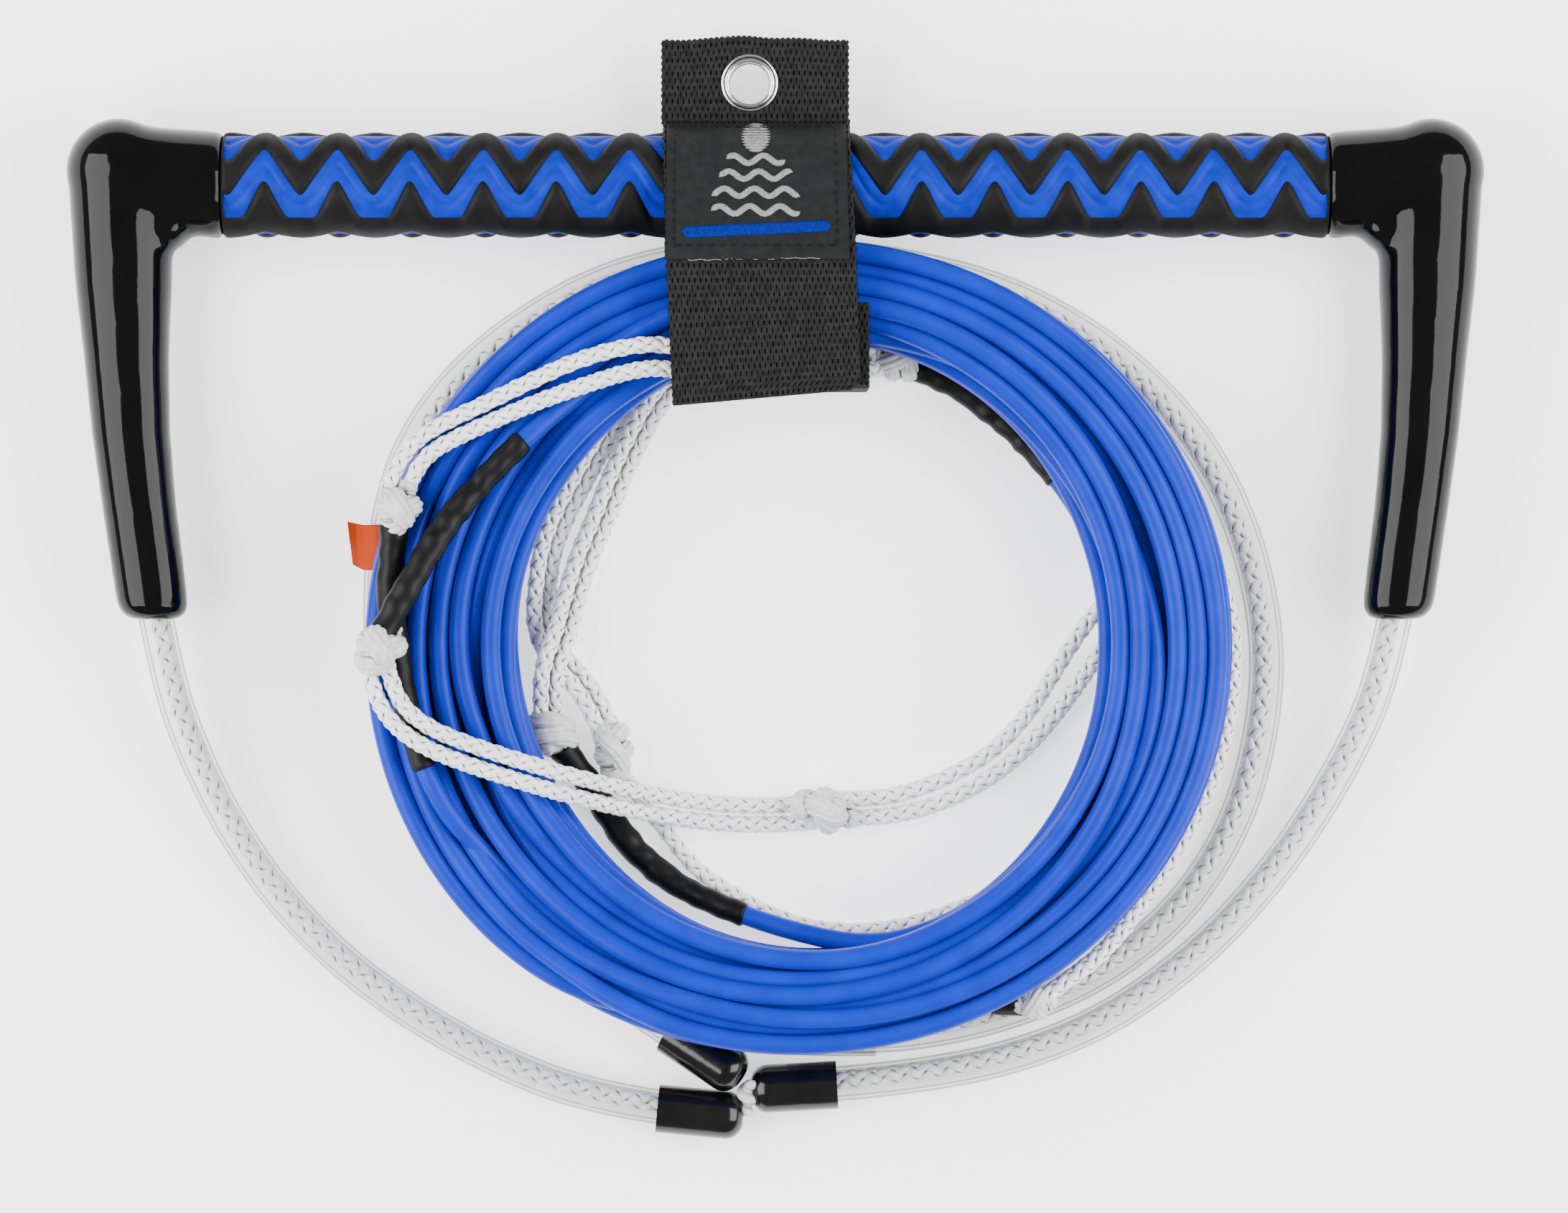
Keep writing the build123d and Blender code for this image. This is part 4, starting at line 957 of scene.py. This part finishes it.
def slab(run, left, right, thick, top, start=0.0, end=None, skew=None, edge=0.0, step=0.0003):
    """A closed strip along a run. Left and right give X by length along; top gives both skins' relief."""
    end = run.length if end is None else end
    rows_count = int((end - start) / step) + 2
    share, width = cloth(rows_count)
    flat = start + share * (end - start)
    along = skew(flat, width) if skew else flat
    across = width * STRAP_WIDE
    rim = np.minimum(np.minimum(width, 1 - width) * STRAP_WIDE / 0.0006, 1.0)
    soft = np.sqrt(np.clip(1 - (1 - rim) ** 2, 0.02, 1))
    x = left(along) + width * (right(along) - left(along)) + edge * np.sin(along * 3300) * (1 - rim)
    lift = thick / 2 * soft + top(across, flat) * rim - 0.0002
    skins = [run.place(x, along, height).reshape(-1, 3) for height in (lift, -lift)]
    return np.vstack(skins), strip(rows_count, WEAVE_CELLS)


def webbing(name, run, left, right, edge, skew=None, step=0.0003, shape=None):
    """A piece of woven webbing along a run, with painted shade in its holes. Shape may move its points and
    cut its faces.
    """
    points, faces = slab(run, left, right, WEBBING, woven, skew=skew, edge=edge, step=step)
    if shape:
        points, faces = shape(points, faces)
    rows_count = len(points) // 2 // WEAVE_CELLS
    share, width = cloth(rows_count)
    # Faces deep in the weave's holes take the painted shade finish.
    shaded_pits = np.tile(slots(width * STRAP_WIDE, share * run.length).ravel() > 0.3, 2)
    return build(name, [(points, faces)], "webbing", shaded_faces=[int(shaded_pits[face].sum() > 2) for face in faces])


def flat_line(points):
    """Points of Y and Z as a line in space."""
    return np.array([(0.0, y, z) for y, z in points])


def arc_points(start, end, count=40):
    return [round_grip(angle) for angle in np.linspace(start, end, count)]


FRONT_POINTS = ([(0.0551, 0.0174), (0.0545, 0.0181)] + arc_points(radians(12), LEAVE)
                + [HINGE, (-0.0216, HINGE[1])])
front_run = Run(FRONT_POINTS, soften=40)
flap_start = lengths(flat_line(FRONT_POINTS))[-2]


def by_y(run, pairs):
    """X by length along, from pairs of Y and X."""
    ys, xs = zip(*sorted(pairs))
    return lambda along: np.interp(np.interp(along, run.along, run.line[:, 1]), ys, xs)


def make_front():
    """The front webbing: round the grip, up to the coil and on as the flap."""
    left = by_y(front_run, ((0.058, -0.0302), (0.045, -0.0300), (0.0168, -0.0290), (-0.0216, -0.0272)))
    right = by_y(front_run, ((0.058, 0.0196), (0.045, 0.0203), (0.0168, 0.0216), (-0.0150, 0.0227),
                             (-0.0172, 0.0202)))

    def skew(along, width):
        """The last rows run parallel to the flap's slanted edge."""
        late = np.clip((along - flap_start) / (front_run.length - flap_start), 0, 1)
        return along - late ** 1.3 * 0.0042 * width

    piece = webbing("strap_front_webbing", front_run, left, right, 0.00012, skew=skew)
    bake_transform(piece)
    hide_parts("strap_front", "strap_flap")


def punch(points, faces, inside):
    """A slab's faces with a walled hole through both of its layers."""
    count = len(points) // 2
    upper = {tuple(face) for face in faces if max(face) < count and inside(list(face))}
    lower = {tuple(sorted(index + count for index in face)) for face in upper}
    kept = [face for face in faces if tuple(face) not in upper and tuple(sorted(face)) not in lower]
    edges = {(first, second) for face in upper for first, second in zip(face, face[1:] + face[:1])}
    for first, second in edges:
        if (second, first) not in edges:
            kept.append([first, second, second + count, first + count])
    return kept


EYELET = (-0.0069, 0.0656)   # X and Y of its middle
TAB_TOP = 0.0774


def make_tab():
    """The hanging tab: webbing folded back on itself, with a hole for the eyelet."""
    half = 0.00085
    fold = [(TAB_TOP + half * cos(angle), BAR_Z + half * sin(angle))
            for angle in np.linspace(pi / 2, -pi / 2, 9)]
    run = Run([(0.0552, 0.0151), (0.0574, BAR_Z - half), (TAB_TOP, BAR_Z - half)] + fold[::-1][1:-1]
              + [(TAB_TOP, BAR_Z + half), (0.0568, BAR_Z + half), (0.0547, 0.0173)], soften=6)
    run.normal = -run.normal if run.normal[5, 2] > 0 else run.normal
    left, right = always(-0.0306), always(0.0197)

    def shape(points, faces):
        """A wavy top edge, a slight warp, and the hole."""
        x, y = points[:, 0].copy(), points[:, 1].copy()
        bulge = 0.0011 * np.exp(-((x + 0.0075) / 0.0062) ** 2) - 0.0012 + 0.0003 * np.sin(x * 300)
        points[:, 1] += bulge * np.clip((y - 0.062) / 0.014, 0, 1)
        away = np.hypot(points[:, 0] - EYELET[0], points[:, 1] - EYELET[1])
        free = np.clip((y - 0.058) / 0.02, 0, 1) * np.clip((away - 0.008) / 0.006, 0, 1)
        points[:, 2] += 0.0004 * np.sin(x * 190 + 1.0) * free
        return points, punch(points, faces, lambda corners: away[corners].min() < 0.0061)

    piece = webbing("hang_tab_webbing", run, left, right, 0.00015, shape=shape)
    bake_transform(piece)
    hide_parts("hang_tab")


def make_back():
    """The back webbing: under the grip and the coil, up through its middle and over it."""
    corner = []
    for middle_y, middle_z, start, end in ((-0.0112, 0.00585, -pi / 2, -pi), (-0.0112, 0.0358, pi, pi / 2)):
        corner += [(middle_y + 0.005 * cos(angle), middle_z + 0.005 * sin(angle))
                   for angle in np.linspace(start, end, 12)]
    points = [(0.0560, 0.0149), (0.0541, 0.0146)] + arc_points(radians(-8), -pi / 2)
    points += corner + [(0.0060, 0.0408)]
    run = Run(points, soften=10)
    run.normal = -run.normal
    aside = lambda along: 0.0050 * np.clip((0.075 - along) / 0.03, 0, 1)
    left, right = (lambda along: -0.0250 - aside(along)), (lambda along: 0.0250 - aside(along))
    piece = webbing("strap_back_webbing", run, left, right, 0.0001, step=0.0004)
    belong(piece, "webbing_black", "strap_back")


def make_tapes():
    """The two tapes that hold the flap down: one of loops, one of hooks."""
    fuzz = lambda across, along: 0.00012 * np.abs(np.sin(across * 3600) * np.sin(along * 3300))
    for node, body, level, x, y in (("loop_patch", ROPE_BODY, 0.0420, (-0.022, 0.022), (-0.012, 0.005)),
                                    ("hook_patch", "strap_flap", 0.0431, (-0.024, 0.018), (-0.015, 0.005))):
        run = Run([(y[1], level), (y[0], level)])
        run.normal = run.normal if run.normal[0, 2] > 0 else -run.normal
        piece = build(node + "_tape", [slab(run, always(x[0]), always(x[1]), 0.0008, fuzz)], "tape")
        belong(piece, "hook_and_loop", node, body=body)


def stitch(run, x0, along0, x1, along1, lift, thick):
    """One stitch: a short thread that dips into the cloth at both ends."""
    share = np.linspace(0, 1, 7)
    line = run.place(x0 + share * (x1 - x0), along0 + share * (along1 - along0),
                     lift + thick * 0.9 * np.sin(pi * share) - thick * 0.5)
    return tube(line, thick * np.array((0.5, 0.85, 1, 1, 1, 0.85, 0.5)), 8)


def strokes(run, points, width, lift, thick=0.00022):
    """A flat embroidered stroke through points of X and length along."""
    points = even(np.array([(x, along, 0.0) for x, along in points]), 0.0004)
    so_far = lengths(points)
    forward = unit(np.gradient(points, axis=0))
    sides = np.stack([-forward[:, 1], forward[:, 0]], axis=1)
    taper = np.clip(np.minimum(so_far, so_far[::-1]) / 0.001, 0.15, 1)
    saw = 1 + 0.07 * np.sin(so_far * 9000)
    rings = []
    for turn in np.linspace(0, 2 * pi, 9)[:-1]:
        offset = width / 2 * cos(turn) * taper * saw
        rings.append(run.place(points[:, 0] + offset * sides[:, 0], points[:, 1] + offset * sides[:, 1],
                               lift + thick * sin(turn) * taper))
    return np.stack(rings, axis=1).reshape(-1, 3), grid(len(points), 8) + lids(len(points), 8)


def along_at(y):
    """The length along the front webbing at which it comes to y."""
    return float(np.interp(-y, -front_run.line[:, 1], front_run.along))


def make_label():
    """The woven label, its stitched border, a plain wave mark and a plain blue bar."""
    start, end = along_at(0.0536), flap_start - 0.0004
    lift = WEBBING / 2 + 0.00032
    left, right = always(-0.0292), (lambda along: 0 * along + 0.0189 + 0.02 * along)
    gentle = lambda across, along: 0.00006 * np.sin(across * 160 + 1) * np.sin(along * 110) + 0 * across
    lifted = Run(FRONT_POINTS, soften=40)
    lifted.line = lifted.line + lift * lifted.normal
    face = build("label_cloth", [slab(lifted, left, right, 0.0007, gentle, start=start, end=end)], "label")
    surface = lift + 0.0002
    stitches = []
    upper, lower = start + 0.0026, end - 0.0040
    border = ((-0.0269, upper, -0.0269, lower), (-0.0269, lower, 0.0168, lower),
              (0.0164, lower, 0.0160, upper), (0.0160, upper, -0.0269, upper))
    for x0, along0, x1, along1 in border:
        count = int(np.hypot(x1 - x0, along1 - along0) / 0.0029)
        for index in range(count):
            near, far = index / count + 0.06 / count, (index + 0.78) / count
            stitches.append(stitch(front_run, x0 + near * (x1 - x0), along0 + near * (along1 - along0),
                                   x0 + far * (x1 - x0), along0 + far * (along1 - along0), surface, 0.00017))
    for index in range(16):
        along = start + 0.003 + index * 0.0029
        if along < end - 0.002:
            stitches.append(stitch(front_run, 0.0186, along, 0.0187, along + 0.0021, surface - 0.0006,
                                   0.00016))
    threads = build("label_stitches", stitches, "label_thread")
    worn = []
    for x0, x1, rise in ((-0.0232, -0.0142, 0.0), (-0.0134, 0.0002, 0.0002), (0.0014, 0.0118, 0.0004)):
        x = np.linspace(x0, x1, 40)
        line = front_run.place(x, end + 0.0001 - rise - 0.0001 * np.sin(x * 1500), surface - 0.0001 + 0 * x)
        worn.append(tube(line, 0.00010 * (0.6 + 0.4 * np.abs(np.sin(x * 2600))), 8))
    pale = build("label_worn_thread", worn, "silver_thread")
    waves, middle_x = [], -0.0052
    spans = ((0.0438, 0.0078), (0.0395, 0.0098), (0.0348, 0.0118), (0.0300, 0.0118))
    for row, (y, span) in enumerate(spans):
        x = np.linspace(-span, span, 100)
        along = along_at(y) - 0.0012 * np.sin((x + 0.0012 * row) / 0.0040 * pi)
        waves.append(strokes(front_run, list(zip(x + middle_x, along)), 0.0018, surface))
    for step in np.linspace(-0.0035, 0.0035, 11):
        half = np.sqrt(0.0040 ** 2 - step ** 2)
        along = along_at(0.0497 - step)
        line = ((middle_x - half, along), (middle_x + half, along))
        waves.append(strokes(front_run, line, 0.00096, surface))
    mark = build("label_wave_mark", waves, "silver_thread")
    stroke = strokes(front_run, ((-0.0248, along_at(0.0239)), (0.0148, along_at(0.0257))), 0.0036, surface)
    bar = build("label_bar", [stroke], "blue_thread")
    for piece in (face, threads, pale, mark, bar):
        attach(piece, ROPE_BODY)
    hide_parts("label_patch")


def lathe(profile, centre, sides=96):
    """A closed ring turned from a profile of radius and height."""
    turn = round_angles(sides)
    profile = np.array(profile)
    points = np.stack([centre[0] + profile[:, 0][:, None] * np.cos(turn),
                       centre[1] + profile[:, 0][:, None] * np.sin(turn),
                       centre[2] + profile[:, 1][:, None] + 0 * turn], axis=-1)
    closed = np.concatenate([points, points[:1]])
    faces = [[index % (len(profile) * sides) for index in face] for face in grid(len(closed), sides)]
    return points.reshape(-1, 3), [face[::-1] for face in faces]


def make_eyelet():
    """The plated eyelet: a rolled rim, a fine groove, and a throat through the webbing."""
    def bead(middle, radius, height, base, start, end):
        angles = np.linspace(start, end, 12)
        return [(middle + radius * cos(angle), base + height * sin(angle)) for angle in angles]

    profile = (bead(0.00735, 0.00042, 0.00070, 0.0015, 0.0, 0.9 * pi) + [(0.00688, 0.0015)]
               + bead(0.00612, 0.00066, 0.0008, 0.0015, 0.1 * pi, pi) + [(0.00535, 0.0010), (0.00525, 0.0)]
               + [(0.00525, -0.0016)] + bead(0.00600, 0.00075, 0.0008, -0.0017, pi, 1.7 * pi)
               + [(0.0070, -0.0021), (0.00755, -0.0018), (0.00745, -0.0015), (0.00640, -0.0014),
                  (0.0058, -0.0008), (0.0058, 0.0008), (0.0064, 0.0015), (0.0075, 0.0016)])
    points, faces = lathe(profile, (*EYELET, BAR_Z))
    ring_of = np.arange(len(faces)) // (len(faces) // len(profile))
    # The groove and the throat take the near-black finish: painted shade.
    shaded_groove_and_throat = (11, 12, 25, 26)
    dark = [int(ring in shaded_groove_and_throat) for ring in ring_of]
    piece = build("eyelet_rim", [(points, faces)], "chrome", shaded_faces=dark)
    belong(piece, "grommet_steel", "grommet", "grommet_washer", body="hang_tab")


def make_tag():
    """The orange film tag, wrapped round the trunk and stuck to itself."""
    tube_r, reach_x = 0.00500, 0.0086
    turn = np.linspace(pi - 0.55, -pi + 0.55, 30)
    path = [(-reach_x, 0.00018), (-reach_x * 0.75, 0.00035)]
    path += [(tube_r * cos(angle), tube_r * sin(angle)) for angle in turn]
    path += [(-reach_x * 0.75, -0.00035), (-reach_x, -0.00018)]
    line = even(np.array([(x, 0.0, z) for x, z in path]), 0.0003)
    tangent = unit(np.gradient(line, axis=0))
    out = np.stack([-tangent[:, 2], 0 * tangent[:, 0], tangent[:, 0]], axis=1)
    width = np.linspace(-0.0061, 0.0061, 24)
    layers = []
    for lift in (0.00013, -0.00013):
        points = line[:, None] + lift * out[:, None] + np.stack([0 * width, width, 0 * width], axis=1)[None]
        far = np.clip((-points[..., 0] - 0.005) / 0.0036, 0, 1)
        points[..., 1] += 0.0009 * far + 0.0006 * far * (width[None] < 0)
        points[..., 0] -= 0.0007 * far * width[None] / 0.006
        points[..., 2] += 0.0004 * far ** 2 * width[None] / 0.006
        layers.append(points.reshape(-1, 3))
    faces = [face[::-1] for face in strip(len(line), len(width))]
    points = np.vstack(layers) + np.array((-0.1061, -0.0588, 0.0052))
    belong(build("float_tag_film", [(points, faces)], "tag"), "tag_orange", "float_tag")


# ---- floor, lights, camera ------------------------------------------------------------------------
def area_light(name, place, target, size, watts):
    """A softbox that faces its target."""
    light = bpy.data.lights.new(name, "AREA")
    light.shape, light.size, light.size_y, light.energy = "RECTANGLE", size[0], size[1], watts
    lamp = bpy.data.objects.new(name, light)
    lamp.location = place
    direction = np.array(target) - np.array(place)
    lamp.rotation_euler = Vector(direction).to_track_quat("-Z", "Y").to_euler()
    bpy.context.scene.collection.objects.link(lamp)


def make_studio():
    """A pale floor, two softboxes and an even white surrounding."""
    bpy.ops.mesh.primitive_plane_add(size=6.0, location=(0, 0, -0.0002))
    floor = bpy.context.object
    floor.name = "studio_floor"
    floor.data.materials.append(finishes["floor"].material)
    for side, name in ((-1, "softbox_left"), (1, "softbox_right")):
        area_light(name, (side * 0.78, -0.06, 0.60), (side * 0.12, -0.06, 0.0), (1.15, 0.85), 29)
    world = bpy.data.worlds.new("studio_air")
    world.use_nodes = True
    background = world.node_tree.nodes["Background"]
    background.inputs["Color"].default_value = (1.0, 1.0, 1.0, 1.0)
    background.inputs["Strength"].default_value = 0.45
    bpy.context.scene.world = world


CAMERA_AWAY = 2.2            # above the level of the bar
VIEW_WIDE = 0.4211           # what the camera sees across, at that level


def make_camera():
    """The photo's viewpoint: straight above, from far away."""
    camera = bpy.data.cameras.new("camera")
    camera.sensor_width = 36.0
    camera.lens = camera.sensor_width * CAMERA_AWAY / VIEW_WIDE
    camera.clip_end = 20.0
    view = bpy.data.objects.new("camera", camera)
    view.location = (0.0023, -0.0747, CAMERA_AWAY + 0.014)
    bpy.context.scene.collection.objects.link(view)
    bpy.context.scene.camera = view


def dress(node, finish):
    """A CAD part that stays, with a better material."""
    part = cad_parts[node]
    part.data.materials.clear()
    part.data.materials.append(finishes[finish].material)


make_camera()
make_studio()
make_ropes()
make_grip()
make_fitting(-1, "corner_left", "end_fitting_left")
make_fitting(1, "corner_right", "end_fitting_right")
make_front()
make_tab()
make_back()
make_tapes()
make_label()
make_eyelet()
make_tag()
for cap in ("bridle_cap_left", "bridle_cap_right", "trunk_cap"):
    dress(cap, "cap")
dress("trunk_end_sleeve", "clear")
dress("bar_tube", "core")
dress("handle_rope", "white")
